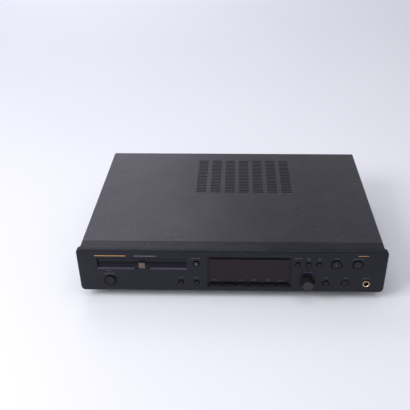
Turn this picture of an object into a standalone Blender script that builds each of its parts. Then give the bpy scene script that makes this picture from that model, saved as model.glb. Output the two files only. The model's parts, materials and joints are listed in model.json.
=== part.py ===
"""Full-width hi-fi disc player and recorder with a motor-driven disc tray.

Metres, +Z up, +X to the right of a person who faces the front, +Y towards the
back. The origin lies on the surface that the feet stand on, under the middle
of the whole machine. Depths are counted from the flat face of the front panel
and turned into Y by at_depth().
"""

import math

import bmesh
import bpy
from mathutils import Matrix, Vector
from mathutils.geometry import delaunay_2d_cdt

# Driving sizes of the housing
FASCIA_WIDTH = 0.435
FASCIA_HEIGHT = 0.0725
FOOT_CLEARANCE = 0.0125
BODY_DEPTH = 0.293
COVER_INSET = 0.0045
COVER_WIDTH = FASCIA_WIDTH - 2 * COVER_INSET
KNOB_PROUD = 0.0125
SOCKET_PROUD = 0.0085

# Clearances
SEAT_GAP = 0.0003
RUN_GAP = 0.0004
OVERRUN = 0.004
WELD = 0.0005
MERGE = 0.000001

# Facet counts of round forms
STEPS_LARGE = 48
STEPS_MEDIUM = 24
STEPS_SMALL = 16
STEPS_TINY = 10
LARGE_ROUND = 0.0060
CORNER_STEPS = 4
FASCIA_CORNER_STEPS = 6

# Filling of flat outlines
FILL_SCALE = 1000
FILL_MERGE = 1e-6

# Sheet metal
COVER_SHEET = 0.0008
CHASSIS_SHEET = 0.001
BEND_RADIUS = 0.0022

# Places worked out from the driving sizes
TOTAL_DEPTH = KNOB_PROUD + BODY_DEPTH + SOCKET_PROUD
FRONT_Y = KNOB_PROUD - TOTAL_DEPTH / 2
FASCIA_BOTTOM = FOOT_CLEARANCE
FASCIA_TOP = FASCIA_BOTTOM + FASCIA_HEIGHT
RIM_PROUD = 0.0003
COVER_TOP = FASCIA_TOP - RIM_PROUD
CHASSIS_RISE = 0.001
CHASSIS_BOTTOM = FASCIA_BOTTOM + CHASSIS_RISE
CHASSIS_TOP = CHASSIS_BOTTOM + CHASSIS_SHEET


def at_depth(depth):
    """Y of a place that lies this far behind the front panel's face."""
    return FRONT_Y + depth


# Front panel moulding
FASCIA_WALL = 0.003
FASCIA_CORNER = 0.0065
FASCIA_EDGE_ROUND = 0.0024
RIM_DEPTH = 0.008
SKIRT_DEPTH = 0.022
SKIRT_WALL = 0.0022
SKIRT_CORNER = 0.0025
POCKET_CORNER = 0.0012
RIM_FLOOR = 0.0024
BELLY_DEPTH = 0.0096

# Disc tray, which stands at the left of the front panel
TRAY_FRONT_WIDTH = 0.1256
TRAY_LEFT_MARGIN = 0.0283
TRAY_X = -FASCIA_WIDTH / 2 + TRAY_LEFT_MARGIN + TRAY_FRONT_WIDTH / 2
TRAY_RIGHT = TRAY_X + TRAY_FRONT_WIDTH / 2
RIGHT_ROOM = FASCIA_WIDTH / 2 - TRAY_RIGHT

# Control rows, as shares of the front panel's height
ROW_UPPER_SHARE = 0.687
ROW_LOWER_SHARE = 0.2345
ROW_POWER_SHARE = 0.265
ROW_LEVEL_SHARE = 0.284
ROW_UPPER = FASCIA_HEIGHT * ROW_UPPER_SHARE
ROW_LOWER = FASCIA_HEIGHT * ROW_LOWER_SHARE
ROW_POWER = FASCIA_HEIGHT * ROW_POWER_SHARE
ROW_LEVEL = FASCIA_HEIGHT * ROW_LEVEL_SHARE

# Places across the room between the tray and the panel's right end, as shares of it
OPEN_SHARE = 0.0494
WINDOW_LEFT_SHARE = 0.1094
WINDOW_WIDTH_SHARE = 0.4102
TRANSPORT_SHARE = 0.5553
TRANSPORT_PITCH_SHARE = 0.0532
LARGE_LEFT_SHARE = 0.7464
LARGE_PITCH_SHARE = 0.1060
LEVEL_SHARE = 0.6094
MODE_SHARE = 0.7030
PHONES_LEVEL_SHARE = 0.8008
PHONES_SHARE = 0.9061


def across(share):
    """X of a place at this share of the room at the tray's right."""
    return TRAY_RIGHT + RIGHT_ROOM * share


POWER_MARGIN = 0.0439
FUNCTION_PITCH = 0.0223
POWER_X = -FASCIA_WIDTH / 2 + POWER_MARGIN
OPEN_X = across(OPEN_SHARE)
RIGHT_FUNCTION_X = OPEN_X
LEFT_FUNCTION_X = OPEN_X - FUNCTION_PITCH
TRANSPORT_X = across(TRANSPORT_SHARE)
TRANSPORT_PITCH = RIGHT_ROOM * TRANSPORT_PITCH_SHARE
LARGE_LEFT_X = across(LARGE_LEFT_SHARE)
LARGE_PITCH = RIGHT_ROOM * LARGE_PITCH_SHARE
LEVEL_X = across(LEVEL_SHARE)
MODE_X = across(MODE_SHARE)
PHONES_LEVEL_X = across(PHONES_LEVEL_SHARE)
PHONES_X = across(PHONES_SHARE)

# Round push buttons
POWER_CAP_RADIUS = 0.0070
OPEN_CAP_RADIUS = 0.0041
FUNCTION_CAP_RADIUS = 0.0028
TRANSPORT_CAP_RADIUS = 0.0028
LARGE_CAP_RADIUS = 0.0062
MODE_CAP_RADIUS = 0.0036
CROWN_SHARE = 0.80
EDGE_SHARE = 0.35
RECESS_RIM = 0.0013
LARGE_RECESS_RIM = 0.0018
POWER_RECESS_RIM = 0.0022
RECESS_DEPTH = 0.0018
BUTTON_PROUD = 0.0014
BUTTON_TRAVEL = 0.0010
POWER_TRAVEL = 0.0025
BUTTON_CROWN = 0.0005
BUTTON_FLANGE = 0.0011
BUTTON_FLANGE_THICKNESS = 0.0010
BUTTON_STEM_RADIUS = 0.0015

# Circuit board behind the front panel
FRONT_BOARD_DEPTH = 0.0135
BOARD_THICKNESS = 0.0016
SWITCH_SIZE = 0.0060
SWITCH_HEIGHT = 0.0036
SWITCH_FACE_DEPTH = FRONT_BOARD_DEPTH - SWITCH_HEIGHT

# Display window and the six keys below it
TUBE_HEIGHT_SHARE = 0.70
WINDOW_BOTTOM_SHARE = 0.2331
WINDOW_HEIGHT_SHARE = 0.5931
KEY_BOTTOM_SHARE = 0.1324
KEY_HEIGHT_SHARE = 0.0759
WINDOW_WIDTH = RIGHT_ROOM * WINDOW_WIDTH_SHARE
WINDOW_LEFT = across(WINDOW_LEFT_SHARE)
DISPLAY_X = WINDOW_LEFT + WINDOW_WIDTH / 2
WINDOW_BOTTOM = FASCIA_HEIGHT * WINDOW_BOTTOM_SHARE
WINDOW_HEIGHT = FASCIA_HEIGHT * WINDOW_HEIGHT_SHARE
WINDOW_THICKNESS = 0.0014
WINDOW_FLANGE = 0.0015
KEY_COUNT = 6
KEY_BOTTOM = FASCIA_HEIGHT * KEY_BOTTOM_SHARE
KEY_HEIGHT = FASCIA_HEIGHT * KEY_HEIGHT_SHARE
KEY_GAP = 0.0007
KEY_PROUD = 0.0001
KEY_EDGE_ROUND = 0.0004
KEY_FLANGE_THICKNESS = 0.0012
DISPLAY_FRAME_SIDE = 0.00205
DISPLAY_FRAME_TOP = 0.0024
DISPLAY_FRAME_FOOT = 0.0003
DISPLAY_RECESS_WIDTH = WINDOW_WIDTH + 2 * DISPLAY_FRAME_SIDE
DISPLAY_RECESS_BOTTOM = KEY_BOTTOM - DISPLAY_FRAME_FOOT
DISPLAY_RECESS_HEIGHT = WINDOW_BOTTOM + WINDOW_HEIGHT + DISPLAY_FRAME_TOP - DISPLAY_RECESS_BOTTOM
DISPLAY_RECESS_DEPTH = 0.0017
DISPLAY_CORNER = 0.0012
DISPLAY_TUBE_HEIGHT = WINDOW_HEIGHT * TUBE_HEIGHT_SHARE
DISPLAY_TUBE_MARGIN = 0.0060
DISPLAY_TUBE_THICKNESS = 0.0060

# Rotary controls
LEVEL_DISH_RADIUS = 0.0113
LEVEL_DISH_DEPTH = 0.0020
LEVEL_KNOB_RADIUS = 0.0083
LEVEL_KNOB_TIP_RADIUS = 0.0079
LEVEL_KNOB_FLUTES = 24
LEVEL_FLUTE_DEPTH = 0.0004
LEVEL_SHAFT_RADIUS = 0.0030
LEVEL_BUSH_RADIUS = 0.0042
KNOB_FACE_DISH = 0.0004
POINTER_WIDTH = 0.0010
POINTER_DEPTH = 0.0004
PHONES_KNOB_RADIUS = 0.0050
PHONES_KNOB_PROUD = 0.0036
PHONES_DISH_RIM = 0.0007
PHONES_SHAFT_RADIUS = 0.0020
POT_WIDTH = 0.0120
POT_HEIGHT = 0.0120

# Headphone socket
POT_DEPTH = 0.0070
POT_BORE_DEPTH = 0.0050
PHONES_RING_RADIUS = 0.0050
PHONES_RING_PROUD = 0.0016
PHONES_BARREL_RADIUS = 0.0044
PHONES_BORE_RADIUS = 0.0032
PHONES_BODY_WIDTH = 0.0130
PHONES_BODY_DEPTH = 0.0290

# Depths through the loading unit, from the front panel to its back
SKIRT_CLEARANCE = 0.0020
GEAR_DECK_HALF = 0.0180
DECK_CLEARANCE = 0.0020
SPINDLE_ROOM = 0.0160
SLED_ROOM = 0.0145
SLED_START_GAP = 0.0010
SLED_END_GAP = 0.0015
SLED_LENGTH = 0.0270
SLED_TRAVEL = 0.0350
PIVOT_MARGIN = 0.0010
TRAVERSE_TAIL = 0.0030
TRAVERSE_CLEARANCE = 0.0050
REAR_DECK_LENGTH = 0.0340
TRAY_SHORTFALL = 0.0060
LOADER_START_DEPTH = SKIRT_DEPTH + SKIRT_CLEARANCE
LOADING_GEAR_DEPTH = LOADER_START_DEPTH + GEAR_DECK_HALF
LOADER_FRONT_DECK_END = LOADING_GEAR_DEPTH + GEAR_DECK_HALF
TRAVERSE_START_DEPTH = LOADER_FRONT_DECK_END + DECK_CLEARANCE
DISC_CENTRE_DEPTH = TRAVERSE_START_DEPTH + SPINDLE_ROOM
SLED_OPENING_START = DISC_CENTRE_DEPTH + SLED_ROOM
SLED_START_DEPTH = SLED_OPENING_START + SLED_START_GAP
SLED_OPENING_END = SLED_START_DEPTH + SLED_LENGTH + SLED_TRAVEL + SLED_END_GAP
TRAVERSE_PIVOT_DEPTH = SLED_OPENING_END + PIVOT_MARGIN
TRAVERSE_END_DEPTH = TRAVERSE_PIVOT_DEPTH + TRAVERSE_TAIL
LOADER_REAR_DECK_START = TRAVERSE_END_DEPTH + TRAVERSE_CLEARANCE
LOADER_END_DEPTH = LOADER_REAR_DECK_START + REAR_DECK_LENGTH
TRAY_END_DEPTH = LOADER_END_DEPTH - TRAY_SHORTFALL

# Tray front and the notch below its middle
TRAY_SLOT_SHARE = 0.5752
TRAY_SLOT_RISE = FASCIA_HEIGHT * TRAY_SLOT_SHARE
TRAY_FRONT_HEIGHT = 0.0156
TRAY_FRONT_THICKNESS = 0.0030
TRAY_FRONT_SETBACK = 0.0024
TRAY_BADGE_WIDTH = 0.0092
TRAY_BADGE_HEIGHT = 0.0102
TRAY_NOTCH_WIDTH = 0.0216
TRAY_NOTCH_DROP = 0.0019
TRAY_GRIP_HEIGHT = 0.0035

# Disc tray
TRAY_FRONT_OVERHANG = 0.0008
TRAY_RIM = 0.0020
TRAY_WIDTH = TRAY_FRONT_WIDTH - 2 * TRAY_FRONT_OVERHANG
TRAY_THICKNESS = 0.0075
TRAY_UNDERSIDE_RISE = 0.0040
TRAY_TRAVEL = 0.1420
DISC_RADIUS = TRAY_WIDTH / 2 - TRAY_RIM
SMALL_DISC_SHARE = 0.6667
SMALL_DISC_RADIUS = DISC_RADIUS * SMALL_DISC_SHARE
DISC_MARGIN = 0.0004
DISC_WELL_DEPTH = 0.0035
SMALL_WELL_DEPTH = 0.0020
TRAY_SLOT_HALF_WIDTH = 0.0190
TRAY_CORNER = 0.0060
FINGER_DIP_RADIUS = 0.0120
DIP_SHARE = 0.75

# Gear train that drives the tray
GEAR_MODULE = 0.0010
GEAR_BACKLASH = 0.00035
GEAR_TIP_GAP = 0.0004
TRAY_PINION_TEETH = 24
DRIVEN_WHEEL_TEETH = 32
DRIVE_PINION_TEETH = 12
PRESSURE_ANGLE_DEG = 20
TRAY_PINION_THICKNESS = 0.0030
DRIVEN_WHEEL_THICKNESS = 0.0030
RACK_EDGE_MARGIN = 0.0095
RACK_OFFSET = TRAY_WIDTH / 2 - RACK_EDGE_MARGIN
RACK_BACK = 0.0030
GEAR_POST_RADIUS = 0.0024
PULLEY_POST_RADIUS = 0.0019
LARGE_PULLEY_RADIUS = 0.0130
SMALL_PULLEY_RADIUS = 0.0036
PULLEY_FLANGE = 0.0020
PULLEY_WIDTH = 0.0040
PULLEY_FLANGE_THICKNESS = 0.0009
BELT_THICKNESS = 0.0014
MOTOR_OFFSET = 0.0220
MOTOR_RADIUS = 0.0105
MOTOR_LENGTH = 0.0200
MOTOR_BOSS_RADIUS = 0.0030
MOTOR_SHAFT_RADIUS = 0.0010

# Loader frame
LOADER_WALL = 0.0026
LOADER_TOP_ROOM = 0.0028
LOADER_LEDGE = 0.0040
LOADER_LEDGE_THICKNESS = 0.0027
LOADER_TAB = 0.0030
LOADER_TAB_LENGTH = 0.0250
LOADER_TAB_THICKNESS = 0.0020
LOADER_FOOT_RISE = 0.0063
LOADER_GEAR_ROOM = 0.0137
LOADER_DECK_THICKNESS = 0.0025
LOADER_FLANGE_WIDTH = 0.0100
LOADER_FLANGE_LENGTH = 0.0180
LOADER_FLANGE_THICKNESS = 0.0025
LOADER_FLANGE_INSET = 0.0080
LOADER_REAR_WALL_HEIGHT = 0.0120
LOADER_WINDOW_HEIGHT = 0.0110
LOADER_WINDOW_RISE = 0.0080
LOADER_SCREW_RADIUS = 0.0017

# Traverse unit: spindle, laser sled, guide rods and drive screw
TRAVERSE_HALF_WIDTH = 0.0390
TRAVERSE_THICKNESS = 0.0030
TRAVERSE_DROP_BELOW_TRAY = 0.0052
TRAVERSE_PIN_RADIUS = 0.0020
TRAVERSE_PIN_LENGTH = 0.0060
TRAVERSE_EAR_THICKNESS = 0.0035
TRAVERSE_EAR_RIM = 0.0030
TRAVERSE_RIB_HEIGHT = 0.0030
TRAVERSE_RIB_THICKNESS = 0.0018
SLED_OPENING_HALF_WIDTH = 0.0240
SLED_HALF_WIDTH = 0.0215
SLED_CORNER = 0.0020
SLED_HEIGHT = 0.0110
SLED_EAR_HEIGHT = 0.0056
SCREW_OFFSET = 0.0325
SCREW_DROP = 0.0024
SCREW_RADIUS = 0.0013
SCREW_REACH = 0.0025
SCREW_LEAD = 0.0060
SLED_MOTOR_RADIUS = 0.0045
SLED_MOTOR_LENGTH = 0.0160
SLED_MOTOR_BOSS_RADIUS = 0.0022
SLED_MOTOR_BOSS_LENGTH = 0.0010
LENS_INNER_RADIUS = 0.0240
LENS_HOLDER_WIDTH = 0.0170
LENS_HOLDER_LENGTH = 0.0130
LENS_RADIUS = 0.0026
LENS_RIM = 0.0016
LENS_DISC_GAP = 0.0014
GUIDE_ROD_RADIUS = 0.0015
GUIDE_ROD_OFFSET = 0.0275
ROD_HOLDER_WIDTH = 0.0080
ROD_HOLDER_LENGTH = 0.0045
ROD_HOLDER_HEIGHT = 0.0062
SPINDLE_MOTOR_RADIUS = 0.0120
SPINDLE_MOTOR_HEIGHT = 0.0110
SPINDLE_SHAFT_RADIUS = 0.0010
TURNTABLE_RADIUS = 0.0152
TURNTABLE_THICKNESS = 0.0018
TURNTABLE_LIFT = 0.0005
TURNTABLE_HUB_RADIUS = 0.0060
TURNTABLE_BOSS_RADIUS = 0.0073
TURNTABLE_BOSS_HEIGHT = 0.0022
DISC_THICKNESS = 0.0012

# Clamp above the tray
CLAMP_BRIDGE_SHEET = 0.0015
CLAMP_BRIDGE_LENGTH = 0.0340
CLAMP_BRIDGE_LEG = 0.0080
CLAMP_BEND_RADIUS = 0.0012
CLAMP_HOLE_RADIUS = 0.0110
PUCK_RADIUS = 0.0145
PUCK_HUB_RADIUS = 0.0105
PUCK_CAP_RADIUS = 0.0132
PUCK_FLANGE_THICKNESS = 0.0020
PUCK_CAP_THICKNESS = 0.0016
PUCK_RECESS_RADIUS = 0.0080
PUCK_DISC_GAP = 0.0004

# Ventilation slots in the cover
VENT_COLUMNS = 7
VENT_ROWS = 22
VENT_CENTRE_X = 0.0179
VENT_PITCH_X = 0.0229
VENT_LENGTH = 0.0160
VENT_WIDTH = 0.0021
VENT_PITCH_Y = 0.0050
VENT_BACK_MARGIN = 0.0288
VENT_FRONT_DEPTH = BODY_DEPTH - VENT_BACK_MARGIN - VENT_PITCH_Y * (VENT_ROWS - 1)

# Chassis
CHASSIS_START_DEPTH = BELLY_DEPTH + SEAT_GAP
CHASSIS_FLANGE_HEIGHT = 0.0120
CHASSIS_FRONT_FLANGE_HEIGHT = 0.0060
BOSS_RADIUS = 0.0040
BOARD_RISE = 0.0080

# Rear panel
REAR_PANEL_SHEET = 0.0010
REAR_PANEL_SETBACK = 0.0020
REAR_PANEL_FLANGE = 0.0090

# Boards and power supply
MAIN_BOARD_WIDTH = 0.1270
MAIN_BOARD_SHARE = 0.669
MAIN_BOARD_LENGTH = BODY_DEPTH * MAIN_BOARD_SHARE
MAIN_BOARD_SIDE_MARGIN = 0.0110
MAIN_BOARD_BACK_MARGIN = 0.0070
MAIN_BOARD_RIGHT = COVER_WIDTH / 2 - MAIN_BOARD_SIDE_MARGIN
MAIN_BOARD_LEFT = MAIN_BOARD_RIGHT - MAIN_BOARD_WIDTH
MAIN_BOARD_BACK_DEPTH = BODY_DEPTH - MAIN_BOARD_BACK_MARGIN
MAIN_BOARD_FRONT_DEPTH = MAIN_BOARD_BACK_DEPTH - MAIN_BOARD_LENGTH
CHIP_THICKNESS = 0.0026
CHIP_SHARES = ((-0.45, 0.22, 0.22, 0.07), (0.30, 0.25, 0.16, 0.05), (-0.30, 0.55, 0.14, 0.045),
               (0.35, 0.58, 0.20, 0.06))
TRANSFORMER_SIDE_MARGIN = 0.0680
TRANSFORMER_X = -COVER_WIDTH / 2 + TRANSFORMER_SIDE_MARGIN
TRANSFORMER_WIDTH = 0.0560
TRANSFORMER_SHARE = 0.55
TRANSFORMER_HEIGHT = 0.0400
TRANSFORMER_LIMB = 0.0100
POWER_BOARD_MARGIN = 0.0320
POWER_BOARD_GAP = 0.0150
POWER_BOARD_FRONT_MARGIN = 0.0040
POWER_BOARD_BACK_MARGIN = 0.0090
POWER_BOARD_LEFT = TRANSFORMER_X + TRANSFORMER_WIDTH / 2 + POWER_BOARD_MARGIN
POWER_BOARD_RIGHT = MAIN_BOARD_LEFT - POWER_BOARD_GAP
POWER_BOARD_FRONT_DEPTH = LOADER_END_DEPTH + POWER_BOARD_FRONT_MARGIN
POWER_BOARD_BACK_DEPTH = BODY_DEPTH - POWER_BOARD_BACK_MARGIN
POWER_BOARD_LENGTH = POWER_BOARD_BACK_DEPTH - POWER_BOARD_FRONT_DEPTH
TRANSFORMER_DEPTH = (LOADER_END_DEPTH + POWER_BOARD_BACK_DEPTH) / 2
TRANSFORMER_LENGTH = (POWER_BOARD_BACK_DEPTH - LOADER_END_DEPTH) * TRANSFORMER_SHARE
BOARD_FRONT_SHARE = 0.10
BOARD_BACK_SHARE = 0.80
COIL_WALL = 0.0080
HEAT_SINK_WIDTH = 0.0500
HEAT_SINK_SHARE = 0.225
HEAT_SINK_DEPTH = POWER_BOARD_LENGTH * HEAT_SINK_SHARE
HEAT_SINK_HEIGHT = 0.0300
HEAT_SINK_FINS = 7
HEAT_SINK_FIN = 0.0016
CAPACITOR_SHARE = 0.1125
CAPACITOR_RADIUS = POWER_BOARD_LENGTH * CAPACITOR_SHARE
CAPACITOR_HEIGHT = 0.0280

# Sockets on the rear
PHONO_PITCH_X = 0.0160
PHONO_PITCH_Z = 0.0160
PHONO_OUTER_RADIUS = 0.0042
PHONO_COLLAR_RADIUS = 0.0060
PHONO_BORE_RADIUS = 0.0017
LINE_SOCKETS_MARGIN = 0.0430
SOCKET_BLOCK_PITCH = 0.0550
LINE_SOCKETS_X = COVER_WIDTH / 2 - LINE_SOCKETS_MARGIN
DIGITAL_SOCKETS_X = LINE_SOCKETS_X - SOCKET_BLOCK_PITCH
SOCKET_BLOCK_DEPTH = 0.0140
SOCKET_BLOCK_MARGIN = 0.0070
SOCKET_ROW_RISE = 0.0250
OPTICAL_WIDTH = 0.0098
OPTICAL_DEPTH = 0.0060
INLET_MARGIN = 0.0350
INLET_X = -COVER_WIDTH / 2 + INLET_MARGIN
INLET_RISE = 0.0300
INLET_WIDTH = 0.0190
INLET_HEIGHT = 0.0110
INLET_WALL = 0.0015
INLET_FLANGE = 0.0030
INLET_CAVITY_DEPTH = 0.0120
INLET_BODY_DEPTH = 0.0180
INLET_PIN_RADIUS = 0.0012
INLET_PIN_SPACING = 0.0086

# Feet
FOOT_RADIUS = 0.0200
FOOT_TOP_RADIUS = 0.0175
FOOT_PAD_RADIUS = 0.0160
FOOT_PAD_HEIGHT = 0.0015
FOOT_ROUND = 0.0015
FOOT_SIDE_MARGIN = 0.0450
FOOT_FRONT_DEPTH = 0.0480
FOOT_REAR_MARGIN = 0.0410
FOOT_X = COVER_WIDTH / 2 - FOOT_SIDE_MARGIN
FOOT_REAR_DEPTH = BODY_DEPTH - FOOT_REAR_MARGIN


# Levels inside the machine
def fascia_level(rise):
    """Height of a place that lies this far above the front panel's bottom edge."""
    return FASCIA_BOTTOM + rise


SLOT_BOTTOM = fascia_level(TRAY_SLOT_RISE)
SLOT_TOP = SLOT_BOTTOM + TRAY_FRONT_HEIGHT + 2 * SEAT_GAP
TRAY_UNDERSIDE = SLOT_BOTTOM + TRAY_UNDERSIDE_RISE
TRAY_TOP = TRAY_UNDERSIDE + TRAY_THICKNESS
DISC_WELL_FLOOR = TRAY_TOP - DISC_WELL_DEPTH
SMALL_WELL_FLOOR = DISC_WELL_FLOOR - SMALL_WELL_DEPTH
DISC_SEAT = DISC_WELL_FLOOR + TURNTABLE_LIFT
LOADER_FOOT = CHASSIS_TOP + LOADER_FOOT_RISE
LOADER_DECK_TOP = TRAY_UNDERSIDE - LOADER_GEAR_ROOM
LOADER_DECK_BOTTOM = LOADER_DECK_TOP - LOADER_DECK_THICKNESS
LOADER_TOP = TRAY_TOP + LOADER_TOP_ROOM
LOADER_INNER = TRAY_WIDTH / 2 + RUN_GAP
LOADER_OUTER = LOADER_INNER + LOADER_WALL
TRAVERSE_TOP = TRAY_UNDERSIDE - TRAVERSE_DROP_BELOW_TRAY
TRAVERSE_BOTTOM = TRAVERSE_TOP - TRAVERSE_THICKNESS
TRAVERSE_PIVOT_Z = (TRAVERSE_TOP + TRAVERSE_BOTTOM) / 2
BOARD_BOTTOM = CHASSIS_TOP + BOARD_RISE
BOARD_TOP = BOARD_BOTTOM + BOARD_THICKNESS


# Finishes: base colour, roughness, metallic
FINISHES = {
    "fascia_plastic": ((0.020, 0.020, 0.024), 0.42, 0.0),
    "cover_paint": ((0.060, 0.058, 0.066), 0.48, 0.0),
    "window_plastic": ((0.014, 0.009, 0.010), 0.12, 0.0),
    "button_plastic": ((0.012, 0.012, 0.015), 0.28, 0.0),
    "socket_gold": ((0.78, 0.60, 0.36), 0.30, 1.0),
    "tray_plastic": ((0.018, 0.018, 0.021), 0.50, 0.0),
    "steel": ((0.55, 0.55, 0.56), 0.38, 1.0),
    "loader_plastic": ((0.045, 0.045, 0.048), 0.55, 0.0),
    "gear_plastic": ((0.72, 0.70, 0.62), 0.45, 0.0),
    "board": ((0.10, 0.16, 0.06), 0.50, 0.0),
    "rubber": ((0.015, 0.015, 0.015), 0.85, 0.0),
    "glass": ((0.05, 0.07, 0.07), 0.08, 0.0),
    "copper": ((0.55, 0.22, 0.10), 0.45, 1.0),
    "capacitor_sleeve": ((0.03, 0.04, 0.09), 0.40, 0.0),
    "aluminium": ((0.62, 0.62, 0.64), 0.45, 1.0),
}


def clear_scene():
    """Remove whatever the file holds, so that each run starts empty."""
    for thing in list(bpy.data.objects):
        bpy.data.objects.remove(thing, do_unlink=True)


def finish(name):
    """Material of that name, made on first use."""
    found = bpy.data.materials.get(name)
    if found:
        return found
    colour, roughness, metallic = FINISHES[name]
    made = bpy.data.materials.new(name)
    made.use_nodes = True
    shader = made.node_tree.nodes["Principled BSDF"]
    shader.inputs["Base Color"].default_value = (*colour, 1.0)
    shader.inputs["Roughness"].default_value = roughness
    shader.inputs["Metallic"].default_value = metallic
    return made


# Outlines, each a list of (u, v) points that runs once round
def box_outline(left, right, low, high):
    """Four corners of a rectangle."""
    return [(left, low), (right, low), (right, high), (left, high)]


def rounded_outline(left, right, low, high, radius, steps=CORNER_STEPS):
    """Rectangle whose corners are quarter circles."""
    points = []
    corners = ((right - radius, high - radius, 0), (left + radius, high - radius, 1),
               (left + radius, low + radius, 2), (right - radius, low + radius, 3))
    for centre_u, centre_v, quarter in corners:
        for step in range(steps + 1):
            angle = math.radians(90) * (quarter + step / steps)
            points.append((centre_u + radius * math.cos(angle), centre_v + radius * math.sin(angle)))
    return points


def round_steps(radius):
    """Facet count of a round form on the front panel."""
    return STEPS_MEDIUM if radius > LARGE_ROUND else STEPS_SMALL


def circle_outline(centre_u, centre_v, radius, steps, turn=0.0):
    """Regular polygon that stands for a circle."""
    angles = [turn + 2 * math.pi * step / steps for step in range(steps)]
    return [(centre_u + radius * math.cos(a), centre_v + radius * math.sin(a)) for a in angles]


def lay(u, v, w, axis):
    """Point whose outline place is (u, v) and whose place along the axis is w."""
    return {"x": (w, u, v), "y": (u, w, v), "z": (u, v, w)}[axis]


# Solids, each a bmesh
def inside(point, loops):
    """Whether a point lies within an odd number of the loops."""
    u, v = point
    crossings = 0
    for loop in loops:
        for (u1, v1), (u2, v2) in zip(loop, loop[1:] + loop[:1]):
            if (v1 > v) != (v2 > v) and u < u1 + (u2 - u1) * (v - v1) / (v2 - v1):
                crossings += 1
    return crossings % 2 == 1


def flat_face(solid, loops, axis, place):
    """Triangles that fill the first loop and leave the other loops open."""
    points = []
    edges = []
    for loop in loops:
        start = len(points)
        points += loop
        edges += [(start + index, start + (index + 1) % len(loop)) for index in range(len(loop))]
    flat = [Vector((u * FILL_SCALE, v * FILL_SCALE)) for u, v in points]
    _, _, triangles, origins, _, _ = delaunay_2d_cdt(flat, edges, [], 0, FILL_MERGE)
    corners = [solid.verts.new(lay(*points[origin[0]], place, axis)) for origin in origins]
    for triangle in triangles:
        spots = [points[origins[index][0]] for index in triangle]
        middle = (sum(u for u, _ in spots) / 3, sum(v for _, v in spots) / 3)
        if inside(middle, loops):
            solid.faces.new([corners[index] for index in triangle])
    loose = [corner for corner in corners if not corner.link_faces]
    bmesh.ops.delete(solid, geom=loose, context="VERTS")


def prism(outline, axis, low, high, holes=()):
    """Outline with holes, filled and extruded along an axis."""
    solid = bmesh.new()
    flat_face(solid, (outline, *holes), axis, low)
    grown = bmesh.ops.extrude_face_region(solid, geom=solid.faces[:])
    moved = [part for part in grown["geom"] if isinstance(part, bmesh.types.BMVert)]
    bmesh.ops.translate(solid, verts=moved, vec=lay(0.0, 0.0, high - low, axis))
    bmesh.ops.recalc_face_normals(solid, faces=solid.faces[:])
    return solid


def block(left, right, front, back, low, high):
    """Rectangular block."""
    return prism(box_outline(left, right, front, back), "z", low, high)


def turned(profile, steps, axis="z", centre=(0.0, 0.0, 0.0)):
    """Profile of (radius, place along the axis) points, turned a full circle."""
    solid = bmesh.new()
    points = [solid.verts.new((radius, 0.0, along)) for radius, along in profile]
    lines = [solid.edges.new(pair) for pair in zip(points, points[1:])]
    if profile[0][0] > 0 or profile[-1][0] > 0:
        lines.append(solid.edges.new((points[-1], points[0])))
    bmesh.ops.spin(solid, geom=points + lines, cent=(0.0, 0.0, 0.0), axis=(0.0, 0.0, 1.0),
                   angle=2 * math.pi, steps=steps)
    bmesh.ops.remove_doubles(solid, verts=solid.verts[:], dist=MERGE)
    turns = {"x": Matrix.Rotation(math.radians(90), 4, "Y"),
             "y": Matrix.Rotation(math.radians(-90), 4, "X"),
             "z": Matrix.Identity(4)}
    bmesh.ops.transform(solid, matrix=Matrix.Translation(centre) @ turns[axis], verts=solid.verts[:])
    bmesh.ops.recalc_face_normals(solid, faces=solid.faces[:])
    return solid


def rod(radius, axis, low, high, across, steps=STEPS_SMALL):
    """Plain round bar; across is its place in the outline plane."""
    return prism(circle_outline(across[0], across[1], radius, steps), axis, low, high)


def lofted(loops, axis):
    """Skin over a row of (outline, place along the axis), closed at both ends."""
    solid = bmesh.new()
    rings = [[solid.verts.new(lay(u, v, place, axis)) for u, v in outline] for outline, place in loops]
    for near, far in zip(rings, rings[1:]):
        for index in range(len(near)):
            other = (index + 1) % len(near)
            solid.faces.new((near[index], near[other], far[other], far[index]))
    solid.faces.new(rings[0])
    solid.faces.new(rings[-1])
    bmesh.ops.recalc_face_normals(solid, faces=solid.faces[:])
    return solid


def gathered(*solids):
    """Several solids in one bmesh, still separate bodies."""
    whole = bmesh.new()
    for solid in solids:
        scratch = bpy.data.meshes.new("scratch")
        solid.to_mesh(scratch)
        solid.free()
        whole.from_mesh(scratch)
        bpy.data.meshes.remove(scratch)
    return whole


# Objects
def piece(name, solid, look, at=(0.0, 0.0, 0.0), parent=None):
    """Named object from a bmesh whose zero lies at the point at."""
    mesh = bpy.data.meshes.new(name)
    solid.to_mesh(mesh)
    solid.free()
    mesh.shade_smooth()
    mesh.set_sharp_from_angle(angle=math.radians(35))
    mesh.materials.append(finish(look))
    made = bpy.data.objects.new(name, mesh)
    bpy.context.collection.objects.link(made)
    origin = Vector(parent["place"]) if parent else Vector((0.0, 0.0, 0.0))
    made.location = Vector(at) - origin
    made.parent = parent
    return made


def joint_axis(name, at):
    """Empty on a joint's axis, which carries the pieces that move there."""
    axis = bpy.data.objects.new(name, None)
    axis.location = at
    axis["place"] = tuple(at)
    bpy.context.collection.objects.link(axis)
    return axis


def shaped(target, solid, operation, at=None):
    """Add or cut a solid on an object with a live Boolean."""
    index = len(target.modifiers) + 1
    helper = piece(f"{target.name}_{operation.lower()}_{index}", solid, target.active_material.name)
    helper.location = target.location if at is None else at
    helper.parent = target.parent
    helper.hide_render = True
    helper.display_type = "WIRE"
    change = target.modifiers.new(f"{operation.lower()}_{index}", "BOOLEAN")
    change.operation = operation
    change.solver = "EXACT"
    change.object = helper
    return target


def add(target, solid):
    """Weld a solid on."""
    return shaped(target, solid, "UNION")


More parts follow.
